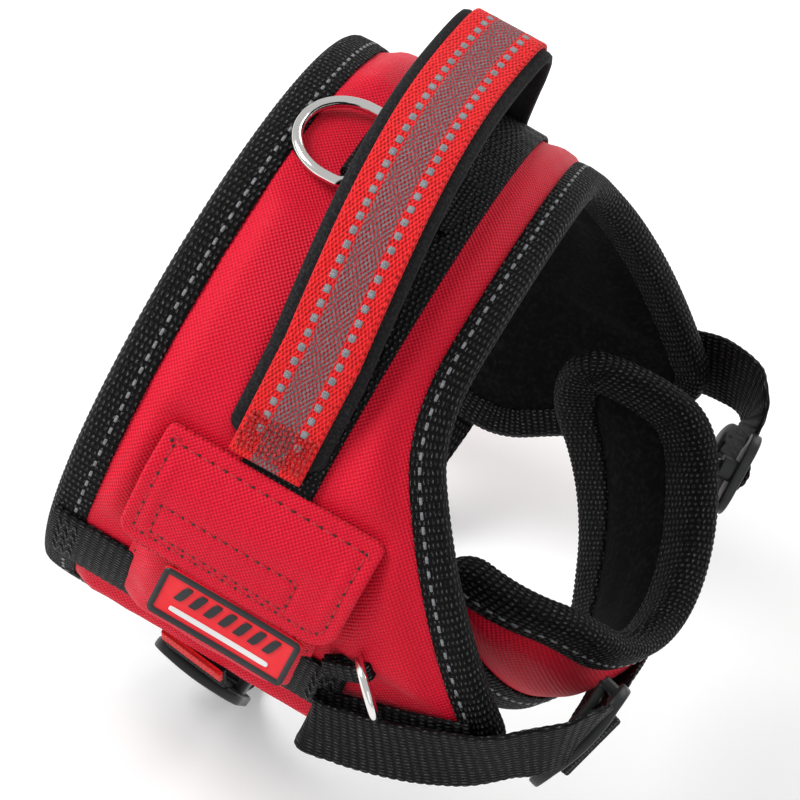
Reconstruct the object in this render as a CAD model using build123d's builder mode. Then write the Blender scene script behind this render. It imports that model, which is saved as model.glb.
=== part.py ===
from build123d import *
from math import cos, radians, sin
import os

# No pull dog harness. Millimetres.
# +X points to the dog's head, +Y to its left and +Z up.
# The origin is the centre of the girth circle, under the middle of the handle.
# Angles round the girth are measured from +Y: 90 is the dog's spine, 180 its right flank.

# ---- webbing and cloth ----
webbing = 20.0                 # width of every strap
ply = 1.4                      # thickness of one layer of webbing
cloth = 1.0                    # thickness of the cover and lining cloths
touch = 0.05                   # gap between layers that are sewn together
running = 0.3                  # gap between pieces that move past each other

# ---- saddle: a padded arch over the dog's back and ribs ----
saddle_radius = 82.0           # outer face of the saddle
saddle_padding = 4.2           # thickness of its foam
saddle_rear = -47.0
saddle_crown_front = 32.0
neck_bend = 60.0               # height at which the neck opening turns towards the wing
saddle_wing_front = 83.0       # foremost point of each wing, beside the shoulder
saddle_hem = -52.0             # height of the lower edges
hem_corner = 12.0
binding_width = 10.6           # visible width of the edge tape
binding_ply = 1.1

# ---- chest pad: a leaning C round the front of the chest ----
chest_radius = 51.0            # outer face of the pad
chest_padding = 4.5
chest_centre = 52.0            # X of the pad's axis at chest_height
chest_height = -25.0
chest_rear = 46.0              # hidden ends of the pad, beside the saddle
chest_lean = 0.457             # the pad leans forward by this much per unit of height

# ---- grab handle ----
handle_pad = 3.2               # thickness of the neoprene under the handle
handle_pad_width = 26.0
handle_skew = 2.5              # the handle crosses the spine at this angle
handle_centre = -4.5
handle_gap = 4.5               # bare length between the tilting arch and each sewn end

# ---- back strap ----
back_strap_span = (23, 157)    # girth angles of its ends
back_strap_rear, back_strap_front = -7.0, 13.0

# ---- leash ring on the back ----
ring_wire = 1.5                # radius of the D-ring's wire
ring_reach = 13.5              # radius of the D
ring_stem = 5.0                # straight part of the D beside its bar
ring_bar_x = -20.0
ring_tilt = 7.4                # the ring sits this far round the girth from the spine
ring_pitch = 4.0               # the ring's bow lies lower than its bar by this angle
ring_step = 1.6                # the ring's loop steps down this far behind the back strap

# ---- side strap and side ring ----
side_strap_span = (185, 201)
side_strap_front = 42.0
tab_width = 5.0                # the narrow webbing that holds the ring
tab_length = 8.0
side_wire = 1.1
side_ring_radius = 7.6
side_ring_centre = (47.4, -92.1, 3.3)
side_ring_normal = (0.70, 0.54, 0.47)
side_ring_inward = (-0.449, 0.842, -0.302)   # from the ring's centre to its tab
side_ring_tangent = (-0.559, 0.0, 0.831)     # along the wire where the tab holds it

# ---- pockets ----
flap_rear, flap_front = -27.0, 35.0
flap_top, flap_foot = 155.5, 178.0
pocket_rear, pocket_front = -23.0, 31.0
pocket_top, pocket_foot = 158.5, 203.0
pocket_bulge = 2.6             # thickness of the empty pocket
badge_size = (40.0, 14.0, 1.7)
badge_x = 8.5
badge_lean = 20.0              # its face looks up by this angle
badge_drop = 0.9               # the badge starts this far round the girth from the flap's foot
hook_span = (168.0, 175.5)     # girth angles of the hook and loop tapes
hook_rear, hook_front = -15.0, 23.0

# ---- radii of what is stacked on the saddle ----
strap_level = saddle_radius + binding_ply + touch
pocket_level = strap_level + ply + touch
loop_level = pocket_level + pocket_bulge + touch
hook_ply = 0.6
hook_level = loop_level + hook_ply + running
flap_level = hook_level + hook_ply + touch

# ---- sliders and belly strap ----
bar = 3.0                      # width of a slider's bars
belly_skew = 7.6               # the belly strap runs forward to the dog's left at this angle
belly_centre = 12.0
belly_floor = -85.0            # height of the strap under the belly

os.makedirs("parts", exist_ok=True)


def save(piece, name):
    """Label a finished piece and write it to its own file."""
    piece.part.label = name
    export_step(piece.part, f"parts/{name}.step")


def save_both_sides(right_piece, name):
    """Write a piece of the dog's right side and its mirror image on the left."""
    save(right_piece, name + "_right")
    with BuildPart() as left_piece:
        mirror(right_piece.part, about=Plane.XZ)
    save(left_piece, name + "_left")


def arch_band(inner, outer, start, end, rear, front):
    """A band between two radii, from one girth angle to another, along X."""
    with BuildPart() as band:
        with BuildSketch(Plane.YZ.offset(rear)):
            with BuildLine():
                low = CenterArc((0, 0), inner, start, end - start)
                high = CenterArc((0, 0), outer, start, end - start)
                Line(low @ 0, high @ 0)
                Line(low @ 1, high @ 1)
            make_face()
        extrude(amount=front - rear)
    return band


def ribbon(stations, width=webbing, thickness=ply):
    """A flat strap through a list of (centre, direction across the strap)."""
    centres = [Vector(centre) for centre, across in stations]
    with BuildPart() as strap:
        for index, (centre, across) in enumerate(stations):
            before = centres[max(index - 1, 0)]
            after = centres[min(index + 1, len(centres) - 1)]
            along = (after - before).normalized()
            flat = Vector(across) - along * along.dot(Vector(across))
            with BuildSketch(Plane(origin=centre, x_dir=flat, z_dir=along)):
                Rectangle(width, thickness)
        loft(ruled=True)
    return strap


# ================= saddle =================

def saddle_side_view(inset):
    """The saddle's outline seen from the side, moved inward by inset."""
    above = saddle_radius + 60
    corners = [
        ((saddle_crown_front, above), 5),
        ((saddle_crown_front, neck_bend), 30),
        ((saddle_wing_front + 4, -6), 14),           # tip of the wing
        ((saddle_wing_front - 8, -32), 20),
        ((40, saddle_hem), 30),
        ((saddle_rear, saddle_hem), hem_corner),
        ((saddle_rear, above), 5),
    ]
    with BuildSketch(Plane.XZ) as view:
        with BuildLine():
            FilletPolyline([point for point, r in corners], radius=[r for point, r in corners], close=True)
        make_face()
        if inset:
            offset(amount=-inset)
    return view


def saddle_layer(inner, outer, inset):
    """One layer of the saddle between two radii."""
    view = saddle_side_view(inset)
    with BuildPart() as layer:
        with BuildSketch(Plane.YZ.offset(saddle_rear - 20)):
            Circle(outer)
            Circle(inner, mode=Mode.SUBTRACT)
        extrude(amount=180)
        extrude(view.sketch, amount=2 * saddle_radius, both=True, mode=Mode.INTERSECT)
    return layer


def saddle():
    """Cover, foam, lining and the folded tape round the saddle's edge."""
    cover_inner = saddle_radius - cloth
    foam_outer = cover_inner - touch
    foam_inner = foam_outer - saddle_padding
    lining_outer = foam_inner - touch
    lining_inner = lining_outer - cloth
    save(saddle_layer(cover_inner, saddle_radius, binding_ply + touch), "saddle_cover")
    save(saddle_layer(foam_inner, foam_outer, binding_ply + touch), "saddle_foam")
    save(saddle_layer(lining_inner, lining_outer, binding_ply + touch), "saddle_lining")
    around = saddle_layer(lining_inner - touch - binding_ply, saddle_radius + touch + binding_ply, 0)
    wrapped = saddle_layer(lining_inner - touch, saddle_radius + touch, binding_ply)
    view = saddle_side_view(binding_width)
    with BuildPart() as binding:
        add(around.part)
        add(wrapped.part, mode=Mode.SUBTRACT)
        extrude(view.sketch, amount=2 * saddle_radius, both=True, mode=Mode.SUBTRACT)
    save(binding, "saddle_binding")


# ================= chest pad =================

def chest_side_view(inset):
    """The chest pad's outline seen from the side, moved inward by inset."""
    corners = [
        ((130, -28), 5),
        ((91, 15), 22),                              # top of the pad, beside the shoulder
        ((chest_rear, 13), 12),                      # rounded end, tucked inside the saddle's wing
        ((chest_rear, -11), 25),
        ((89, -51), 20),
        ((130, -51), 5),
    ]
    with BuildSketch(Plane.XZ) as view:
        with BuildLine():
            FilletPolyline([point for point, r in corners], radius=[r for point, r in corners], close=True)
        make_face()
        if inset:
            offset(amount=-inset)
    return view


def chest_layer(inner, outer, inset):
    """One layer of the leaning chest pad between two radii."""
    foot = -70.0
    view = chest_side_view(inset)
    with BuildPart() as layer:
        with BuildSketch(Plane.XY.offset(foot)):
            with Locations((chest_centre + chest_lean * (foot - chest_height), 0)):
                Circle(outer)
                Circle(inner, mode=Mode.SUBTRACT)
        extrude(amount=110, dir=(chest_lean, 0, 1))
        extrude(view.sketch, amount=2 * chest_radius, both=True, mode=Mode.INTERSECT)
    return layer


def chest_pad():
    """Cover, foam, lining and edge tape of the chest pad."""
    cover_inner = chest_radius - cloth
    foam_outer = cover_inner - touch
    foam_inner = foam_outer - chest_padding
    lining_outer = foam_inner - touch
    lining_inner = lining_outer - cloth
    save(chest_layer(cover_inner, chest_radius, binding_ply + touch), "chest_pad_cover")
    save(chest_layer(foam_inner, foam_outer, binding_ply + touch), "chest_pad_foam")
    save(chest_layer(lining_inner, lining_outer, binding_ply + touch), "chest_pad_lining")
    around = chest_layer(lining_inner - touch - binding_ply, chest_radius + touch + binding_ply, 0)
    wrapped = chest_layer(lining_inner - touch, chest_radius + touch, binding_ply)
    view = chest_side_view(binding_width)
    with BuildPart() as binding:
        add(around.part)
        add(wrapped.part, mode=Mode.SUBTRACT)
        extrude(view.sketch, amount=2 * chest_radius, both=True, mode=Mode.SUBTRACT)
    save(binding, "chest_pad_binding")


# ================= back strap and grab handle =================

handle_plane = Plane(
    origin=(handle_centre, 0, 0),
    x_dir=Vector(0, 1, 0).rotate(Axis.Z, handle_skew),
    z_dir=Vector(1, 0, 0).rotate(Axis.Z, handle_skew),
)
patch_radius = strap_level + 1.5 * ply + 0.9            # middle of the handle's sewn ends
handle_right_patch = (154, 149)                         # girth angles of the sewn ends
handle_left_patch = (50, 38)
handle_right_lift = (-64.0, 66.0)                       # where the free arch starts, in the handle's plane
handle_left_lift = (47.0, 84.0)
handle_right_way = (-0.52, -0.85)                       # the way from the arch down to each sewn end
handle_left_way = (0.12, -1.0)


def on_girth(radius, angle):
    """The point at a girth angle, as (across, up)."""
    turn = radians(angle)
    return (radius * cos(turn), radius * sin(turn))


def handle_arch(rise, thickness, width):
    """A layer of the free arch, rise above its middle line."""
    bends = [(-47, 90), (-10, 104.5), (41, 105.5)]
    with BuildLine() as middle:
        FilletPolyline(handle_right_lift, *bends, handle_left_lift, radius=[45, 100, 14])
    line = middle.wire()
    if rise:
        line = line.offset_2d(rise, side=Side.RIGHT, closed=False)
    with BuildPart() as arch:
        with BuildSketch(handle_plane.offset(-width / 2)):
            trace(line, line_width=thickness)
        extrude(amount=width)
    return arch


def handle():
    """The red webbing arch, its neoprene pad and the two ends sewn to the back strap."""
    save(handle_arch(0, ply, webbing), "handle_webbing")
    save(handle_arch((ply + handle_pad) / 2 + touch, handle_pad, handle_pad_width), "handle_pad")
    with BuildPart() as right_end:
        with BuildSketch(handle_plane.offset(-webbing / 2)):
            with BuildLine() as line:
                start = on_girth(patch_radius, handle_right_patch[0])
                lift = on_girth(patch_radius, handle_right_patch[1])
                patch = RadiusArc(start, lift, patch_radius)
                Line(patch @ 1, Vector(*handle_right_lift) + Vector(*handle_right_way) * handle_gap)
            trace(line_width=ply)
        extrude(amount=webbing)
    save(right_end, "handle_end_right")
    with BuildPart() as left_end:
        with BuildSketch(handle_plane.offset(-webbing / 2)):
            with BuildLine() as line:
                lift = on_girth(patch_radius, handle_left_patch[0])
                finish = on_girth(patch_radius, handle_left_patch[1])
                fall = Line(Vector(*handle_left_lift) + Vector(*handle_left_way) * handle_gap, lift)
                RadiusArc(fall @ 1, finish, patch_radius)
            trace(line_width=ply)
        extrude(amount=webbing)
    save(left_end, "handle_end_left")


def back_strap():
    """Webbing sewn over the saddle from one pocket to the other, under the handle."""
    strap = arch_band(strap_level, strap_level + ply, *back_strap_span, back_strap_rear, back_strap_front)
    save(strap, "back_strap")


# ================= leash ring =================

ring_frame = Plane.XY.rotated((ring_tilt, 0, 0))
ring_fold = ring_wire + running + ply / 2
ring_loop_level = strap_level + 1.5 * ply + touch       # middle of the loop's lower layer, on the back strap
ring_height = ring_loop_level - ring_step + ring_fold


def d_ring():
    """The D-ring lies back along the spine, its bar held in a folded loop of webbing."""
    turn = radians(ring_pitch)
    lying = Plane(
        origin=ring_frame.from_local_coords((ring_bar_x, 0, ring_height)),
        x_dir=ring_frame.x_dir * cos(turn) + ring_frame.z_dir * sin(turn),
        z_dir=ring_frame.z_dir * cos(turn) - ring_frame.x_dir * sin(turn),
    )
    with BuildPart() as ring:
        with BuildLine(lying) as outline:
            bar_end = (0, ring_reach)
            other_end = (0, -ring_reach)
            stem = Line(bar_end, (-ring_stem, ring_reach))
            bow = CenterArc((-ring_stem, 0), ring_reach, 90, 180)
            Line(bow @ 1, other_end)
            Line(other_end, bar_end)
        with BuildSketch(Plane(origin=outline.wire() @ 0, z_dir=outline.wire() % 0)):
            Circle(ring_wire)
        sweep(path=outline.wire(), transition=Transition.ROUND)
    save(ring, "d_ring")


def d_ring_loop():
    """Webbing folded round the D-ring's bar and sewn to the back strap."""
    step_level = ring_loop_level - ring_step
    side_plane = Plane.XZ.rotated((ring_tilt, 0, 0))
    with BuildPart() as loop:
        with BuildSketch(side_plane.offset(-webbing / 2)):
            with BuildLine():
                FilletPolyline(
                    (8, ring_loop_level), (-9, ring_loop_level), (-13, step_level), (ring_bar_x, step_level),
                    radius=[3, 3],
                )
                turn = CenterArc((ring_bar_x, ring_height), ring_fold, -90, -180)
                rise = JernArc(turn @ 1, turn % 1, 12, -30)
                Line(rise @ 1, (rise @ 1) + (rise % 1) * 3.0)
            trace(line_width=ply)
        extrude(amount=webbing)
    save(loop, "d_ring_loop")


# ================= side straps and side rings =================

def side_strap():
    """Webbing sewn along the flank, with a narrow tab that holds the side ring."""
    save_both_sides(
        arch_band(strap_level, strap_level + ply, *side_strap_span, saddle_rear + 2, side_strap_front),
        "side_strap",
    )
    fold = side_wire + 2 * running + ply / 2
    held = Vector(side_ring_centre) + Vector(side_ring_inward) * side_ring_radius
    backward = Vector(side_ring_tangent).cross(Vector(0, 1, 0)).normalized()
    if backward.X > 0:
        backward = -backward
    frame = Plane(origin=held, x_dir=backward, z_dir=-Vector(side_ring_tangent))
    with BuildPart() as tab:
        with BuildSketch(frame.offset(-tab_width / 2)):
            with BuildLine():
                upper = Line((tab_length, fold), (0, fold))
                turn = RadiusArc(upper @ 1, (0, -fold), -fold)
                Line(turn @ 1, (tab_length, -fold))
            trace(line_width=ply)
        extrude(amount=tab_width)
    save_both_sides(tab, "side_ring_tab")


def side_ring():
    """A small round ring in the tab."""
    frame = Plane(origin=side_ring_centre, z_dir=side_ring_normal)
    with BuildPart() as ring:
        with BuildSketch(Plane(origin=frame.origin, x_dir=frame.x_dir, z_dir=frame.y_dir)):
            with Locations((side_ring_radius, 0)):
                Circle(side_wire)
        revolve(axis=Axis(frame.origin, frame.z_dir))
    save_both_sides(ring, "side_ring")


# ================= pockets =================

def pocket():
    """A flat pouch on each flank, with a flap that closes on hook and loop tape."""
    pouch_top = pocket_level + pocket_bulge
    pouch = arch_band(pocket_level, pouch_top, pocket_top, pocket_foot, pocket_rear, pocket_front)
    save_both_sides(pouch, "pocket_pouch")
    for level, name in ((loop_level, "pocket_loop_tape"), (hook_level, "flap_hook_tape")):
        save_both_sides(arch_band(level, level + hook_ply, *hook_span, hook_rear, hook_front), name)
    with BuildPart() as flap:
        add(arch_band(flap_level, flap_level + ply, flap_top, flap_foot, flap_rear, flap_front).part)
        foot_corners = flap.edges().filter_by(lambda edge: edge.length < 2 * ply).sort_by(Axis.Z)[:2]
        fillet(foot_corners, radius=5)
    save_both_sides(flap, "pocket_flap")
    outward = Vector(0, *on_girth(1, 180 - badge_lean))
    downward = Vector(0, *on_girth(1, 270 - badge_lean))
    top_edge = Vector(badge_x, *on_girth(flap_level, flap_foot + badge_drop))
    centre = top_edge + downward * badge_size[1] / 2
    with BuildPart() as badge:
        with BuildSketch(Plane(origin=centre, x_dir=Vector(1, 0, 0), z_dir=outward)):
            RectangleRounded(badge_size[0], badge_size[1], 1.0)
        extrude(amount=badge_size[2])
    save_both_sides(badge, "pull_badge")


# ================= sliders =================

def slider(frame, length, strap_width=webbing):
    """A three bar slider. Its strap runs over the middle bar and under the two outer ones."""
    reach = 22.0                                        # size along the strap
    low = -ply / 2 - running
    high = ply / 2 + running
    cheek = (length - strap_width) / 2 - running        # the two ends that join the bars
    with BuildPart() as body:
        with BuildSketch(frame.offset(low - bar)):
            with GridLocations(length - cheek, 0, 2, 1):
                RectangleRounded(cheek, reach - 6, 0.9)
        extrude(amount=2 * bar + high - low)
        with BuildSketch(frame.offset(high)):
            with GridLocations(0, reach - bar, 1, 2):
                Rectangle(length - 2, bar)
            with GridLocations(length - cheek, 0, 2, 1):
                Rectangle(cheek - 1, reach)
        extrude(amount=bar)
        with BuildSketch(frame.offset(low - bar)):
            Rectangle(length - 2, bar + 1)
        extrude(amount=bar)
    return body


# ================= chest straps =================

chest_slider_at = (100.0, -57.5, -10.5)
chest_slider_across = Vector(0.25, 0.70, 0.67).normalized()
chest_slider_face = Vector(0.97, -0.2, -0.153).normalized()
chest_slider_along = chest_slider_across.cross(chest_slider_face)     # towards the pad
chest_slider_length = 34.0
chest_pad_run = 17.0           # flat webbing from the slider's middle towards the pad
chest_loop_run = 19.0          # and towards the loop


def chest_strap():
    """Each chest strap hangs on the flank as a loop, turns through its slider and is sewn to the pad."""
    centre = Vector(chest_slider_at)
    loop_end = centre - chest_slider_along * chest_loop_run
    upright = (0, 0, 1)
    loop_run = [
        (centre + chest_slider_along * chest_pad_run, chest_slider_across),
        (loop_end, chest_slider_across),
        (loop_end + (-3.0, -5.0, -0.5), (0.28, 0.45, 0.85)),
        ((87, -83.0, -1.5), (0.2, 0.1, 0.96)),
        ((72, -88.0, -10.5), upright),
        ((57, -88.9, -18.5), upright),
        ((41, -88.2, -25.0), upright),
        ((38.4, -87.2, -26.0), upright),
        ((38.0, -86.0, -26.0), upright),
        ((39.0, -84.8, -25.6), upright),
        ((46, -84.5, -23.0), upright),
        ((60, -84.8, -16.5), upright),
        ((79, -84.5, -7.0), upright),
    ]
    save_both_sides(ribbon(loop_run), "chest_strap")
    save_both_sides(
        slider(Plane(origin=centre, x_dir=chest_slider_across, z_dir=chest_slider_face), chest_slider_length),
        "chest_slider",
    )


def chest_front_strap():
    """Webbing across the front of the chest pad, joining the two chest straps."""
    inward = chest_slider_along
    end = Vector(chest_slider_at) + inward * (chest_pad_run + touch)
    height = -30.5
    front = chest_centre + chest_radius + touch + ply + chest_lean * (height - chest_height)
    leaning = (chest_lean, 0, 1)
    right_half = [
        (end, chest_slider_across),
        (end + inward * 2, chest_slider_across),
        (Vector(front, -26, height + 3.5), (0.40, 0.35, 0.85)),
        (Vector(front, -12, height), leaning),
    ]
    left_half = [
        (Vector(point.X, -point.Y, point.Z), Vector(Vector(across).X, -Vector(across).Y, Vector(across).Z))
        for point, across in reversed(right_half)
    ]
    save(ribbon(right_half + left_half), "chest_front_strap")


# ================= belly strap and buckle =================

belly_plane = Plane(
    origin=(belly_centre, 0, 0),
    x_dir=Vector(0, 1, 0).rotate(Axis.Z, -belly_skew),
    z_dir=Vector(1, 0, 0).rotate(Axis.Z, -belly_skew),
)
belly_start = (207, 333)       # girth angles where its two halves are sewn on
belly_slider_along = 0.37      # where the slider sits on the slanting run of the strap
belly_slider_length = 28.0
belly_tail = 9.0               # webbing folded back past each buckle bar
anchor_share = 0.45            # how much of the strap's first run the red anchor covers
buckle_bar_at = 22.5           # the two webbing bars, either side of the buckle's middle
buckle_bar = 1.5               # their radius
buckle_end = 19.0              # the bodies of the two halves end here
buckle_mouth = -4.0            # where plug and socket meet
buckle_width = 27.0
buckle_wall = 1.5
buckle_depth = 8.0
socket_hollow = 16.5           # depth of the socket's inside
window = (10.2, 9.6)           # middle and length of the openings the arms click into
fold_radius = buckle_bar + 0.1 + ply / 2


def belly_strap():
    """The strap round the belly, from flank to flank, folded round the buckle's two bars."""
    start_radius = strap_level + ply / 2 + 1.4
    outer = belly_floor - fold_radius
    start = on_girth(start_radius, belly_start[0])
    high = (-68, -54.5)
    low = (-38, outer)
    with BuildPart() as right_strap:
        with BuildSketch(belly_plane.offset(-webbing / 2)):
            with BuildLine():
                FilletPolyline(start, high, low, (-buckle_bar_at, outer), radius=[15, 15])
                fold = CenterArc((-buckle_bar_at, belly_floor), fold_radius, -90, 180)
                Line(fold @ 1, (-buckle_bar_at - belly_tail, belly_floor + fold_radius))
            trace(line_width=ply)
        extrude(amount=webbing)
    save(right_strap, "belly_strap_right")
    with BuildPart() as left_strap:
        with BuildSketch(belly_plane.offset(-webbing / 2)):
            with BuildLine():
                far_start = on_girth(start_radius, belly_start[1])
                FilletPolyline(far_start, (67, -57), (38, outer), (buckle_bar_at, outer), radius=[25, 20])
                fold = CenterArc((buckle_bar_at, belly_floor), fold_radius, 90, 180)
                Line(fold @ 0, (buckle_bar_at + belly_tail, belly_floor + fold_radius))
            trace(line_width=ply)
        extrude(amount=webbing)
    save(left_strap, "belly_strap_left")
    first = Vector(*start)
    run = Vector(*high) - first
    aside = Vector(run.Y, -run.X).normalized() * (ply + touch)
    with BuildPart() as anchor:
        with BuildSketch(belly_plane.offset(-webbing / 2)):
            with BuildLine():
                Line(first + aside, first + aside + run * anchor_share)
            trace(line_width=ply)
        extrude(amount=webbing)
    save(anchor, "belly_strap_anchor")
    slide_run = Vector(*low) - Vector(*high)
    middle = Vector(*high) + slide_run * belly_slider_along
    along = belly_plane.from_local_coords(slide_run) - belly_plane.origin
    face = belly_plane.z_dir.cross(along)
    if face.Z > 0:
        face = -face
    frame = Plane(origin=belly_plane.from_local_coords(middle), x_dir=belly_plane.z_dir, z_dir=face)
    save(slider(frame, belly_slider_length), "belly_slider")


# The buckle's own frame: X along the strap to the dog's left, Z down.
buckle_plane = Plane(origin=(belly_centre, 0, belly_floor), x_dir=belly_plane.x_dir, z_dir=(0, 0, -1))


def webbing_bar(end):
    """The round bar and its two cheeks at one end of the buckle."""
    with BuildPart() as bar_end:
        with BuildSketch(buckle_plane.offset(-2)):
            with Locations((end * (buckle_end + 3), 0)):
                with GridLocations(0, buckle_width - 3.5, 1, 2):
                    Rectangle(7, 2.5)
        extrude(amount=4)
        side = Plane(origin=buckle_plane.origin, x_dir=buckle_plane.x_dir, z_dir=buckle_plane.y_dir)
        with BuildSketch(side.offset(-buckle_width / 2 + 2)):
            with Locations((end * buckle_bar_at, 0)):
                Circle(buckle_bar)
        extrude(amount=buckle_width - 4)
    return bar_end


def buckle():
    """A side release buckle: a socket on the left strap and a plug with two springy arms on the right."""
    half_depth = buckle_depth / 2
    with BuildPart() as socket:
        with BuildSketch(buckle_plane.offset(-half_depth)):
            with Locations(((buckle_mouth + buckle_end) / 2, 0)):
                RectangleRounded(buckle_end - buckle_mouth, buckle_width, 3)
        extrude(amount=buckle_depth)
        with BuildSketch(buckle_plane.offset(-half_depth + buckle_wall)):
            with Locations(((buckle_mouth - 1 + socket_hollow) / 2, 0)):
                Rectangle(socket_hollow - buckle_mouth + 1, buckle_width - 2 * buckle_wall)
            with Locations((window[0], 0)):
                Rectangle(window[1], buckle_width + 2)
        extrude(amount=buckle_depth - 2 * buckle_wall, mode=Mode.SUBTRACT)
        add(webbing_bar(1).part)
    save(socket, "buckle_socket")
    root = buckle_mouth - running
    with BuildPart() as plug:
        with BuildSketch(buckle_plane.offset(-half_depth)):
            with Locations(((root - buckle_end) / 2, 0)):
                RectangleRounded(root + buckle_end, buckle_width, 3)
        extrude(amount=buckle_depth)
        with BuildSketch(buckle_plane.offset(-1.5)):
            with Locations((2.5, 0)):
                Rectangle(15, 4)
        extrude(amount=3)
        add(webbing_bar(-1).part)
    save(plug, "buckle_plug")
    for edge, name in ((1, "front"), (-1, "rear")):
        with BuildPart() as arm:
            with BuildSketch(buckle_plane.offset(-2.2)):
                with BuildLine():
                    Polyline(
                        (root + running, edge * 6), (14, edge * 6), (14, edge * 11), (12, edge * 12.9),
                        (7, edge * 12.9), (6.2, edge * 8.4), (root + running, edge * 8.4), close=True,
                    )
                make_face()
            extrude(amount=4.4)
        save(arm, "buckle_arm_" + name)


saddle()
chest_pad()
handle()
back_strap()
d_ring()
d_ring_loop()
side_strap()
side_ring()
pocket()
chest_strap()
chest_front_strap()
belly_strap()
buckle()
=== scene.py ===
from math import cos, pi, radians, sin

import bmesh
import bpy
import numpy as np
from mathutils import Matrix, Vector


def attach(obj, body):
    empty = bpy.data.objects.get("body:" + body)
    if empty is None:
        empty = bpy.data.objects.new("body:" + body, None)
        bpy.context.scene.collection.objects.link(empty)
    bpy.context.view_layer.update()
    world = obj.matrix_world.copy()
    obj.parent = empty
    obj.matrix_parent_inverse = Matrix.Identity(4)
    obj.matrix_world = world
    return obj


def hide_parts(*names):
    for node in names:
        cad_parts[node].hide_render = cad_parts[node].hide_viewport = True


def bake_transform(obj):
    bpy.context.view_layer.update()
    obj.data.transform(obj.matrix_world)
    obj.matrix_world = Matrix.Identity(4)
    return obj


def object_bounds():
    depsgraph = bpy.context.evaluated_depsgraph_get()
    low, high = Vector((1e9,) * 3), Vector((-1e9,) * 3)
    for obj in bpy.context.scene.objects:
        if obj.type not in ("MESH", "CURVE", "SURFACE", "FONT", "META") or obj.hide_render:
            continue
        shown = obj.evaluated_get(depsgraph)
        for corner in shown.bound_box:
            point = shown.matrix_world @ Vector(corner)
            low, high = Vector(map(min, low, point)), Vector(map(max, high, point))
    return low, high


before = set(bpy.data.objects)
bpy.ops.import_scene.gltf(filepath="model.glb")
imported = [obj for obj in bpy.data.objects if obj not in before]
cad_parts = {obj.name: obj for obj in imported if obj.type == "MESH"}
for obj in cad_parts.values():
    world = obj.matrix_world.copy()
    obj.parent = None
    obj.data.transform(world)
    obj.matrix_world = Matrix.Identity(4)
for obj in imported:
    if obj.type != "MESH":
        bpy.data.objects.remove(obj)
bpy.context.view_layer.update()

scene = bpy.context.scene
rng = np.random.default_rng(11)

# Lengths are in millimetres until a mesh is made. +X is the dog's head, +Y its left and +Z up.
MM = 0.001
SIDES = (("right", 1), ("left", -1))

# ---- the frame's dimensions, as in the CAD source ----
WEBBING, PLY = 20.0, 1.4
SADDLE_R, SADDLE_HALF = 82.0, 3.1
SADDLE_MID = SADDLE_R - SADDLE_HALF
CHEST_R, CHEST_HALF = 51.0, 3.25
CHEST_MID = CHEST_R - CHEST_HALF
STRAP_R = 83.15
TAPE = 10.6                                    # width of the edge tape's outer face
RIB, BEAD = 1.9, 1.35                          # pitch of the tape's ribs and of the beads on them


# ================= small geometry =================

def unit(v):
    v = np.asarray(v, float)
    return v / np.linalg.norm(v, axis=-1, keepdims=True)


def line_lengths(points):
    """The distance along a line to each of its points."""
    return np.r_[0, np.cumsum(np.linalg.norm(np.diff(points, axis=0), axis=1))]


def loop_way(points):
    """The direction along a closed line at each of its points."""
    return unit(np.roll(points, -1, 0) - np.roll(points, 1, 0))


def values_at(at, lengths, values):
    """The columns of values, read off at distances along a line."""
    return np.stack([np.interp(at, lengths, values[:, c]) for c in range(values.shape[1])], -1)


def smoothstep(x, low, high):
    t = np.clip((np.asarray(x, float) - low) / (high - low), 0, 1)
    return t * t * (3 - 2 * t)


def wobble(x, y, size, seed):
    """Smooth waves of about one size over a surface, the same on every run."""
    wave = np.random.default_rng(seed)
    total = 0
    for k in range(7):
        turn, phase = wave.uniform(0, 2 * pi, 2)
        scale = size * wave.uniform(0.6, 1.6)
        total = total + np.sin((x * cos(turn) + y * sin(turn)) * 2 * pi / scale + phase)
    return total / 4


def rounded(corners, step=1.0):
    """A dense polyline through corners ((x, y), radius); the first and last aren't rounded."""
    points = [np.array(corners[0][0], float)]
    for k in range(1, len(corners) - 1):
        before, at, after = (np.array(corners[k + d][0], float) for d in (-1, 0, 1))
        radius = corners[k][1]
        back, on = unit(before - at), unit(after - at)
        half = np.arccos(np.clip(back @ on, -1, 1)) / 2
        reach = radius / np.tan(half)
        centre = at + unit(back + on) * radius / np.sin(half)
        start, end = at + back * reach, at + on * reach
        s, e = start - centre, end - centre
        turn = np.arctan2(s[0] * e[1] - s[1] * e[0], s @ e)
        count = max(3, int(abs(turn) * radius / step) + 2)
        for f in np.linspace(0, turn, count):
            points.append(centre + [s[0] * cos(f) - s[1] * sin(f), s[0] * sin(f) + s[1] * cos(f)])
    points.append(np.array(corners[-1][0], float))
    return resample(np.array(points), step)


def resample(points, step, closed=False):
    """The same line with points at an even spacing near step."""
    points = np.asarray(points, float)
    if closed:
        points = np.vstack([points, points[:1]])
    lengths = line_lengths(points)
    keep = np.r_[True, np.diff(lengths) > 1e-9]
    points, lengths = points[keep], lengths[keep]
    count = max(2, int(round(lengths[-1] / step)) + 1)
    at = np.linspace(0, lengths[-1], count)
    out = values_at(at, lengths, points)
    return out[:-1] if closed else out


def smooth_line(points, rounds, closed=False):
    """Evens out a line by averaging each point with its neighbours."""
    points = np.array(points, float)
    for _ in range(rounds):
        if closed:
            points = (np.roll(points, 1, 0) + 2 * points + np.roll(points, -1, 0)) / 4
        else:
            points[1:-1] = (points[:-2] + 2 * points[1:-1] + points[2:]) / 4
    return points


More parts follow.
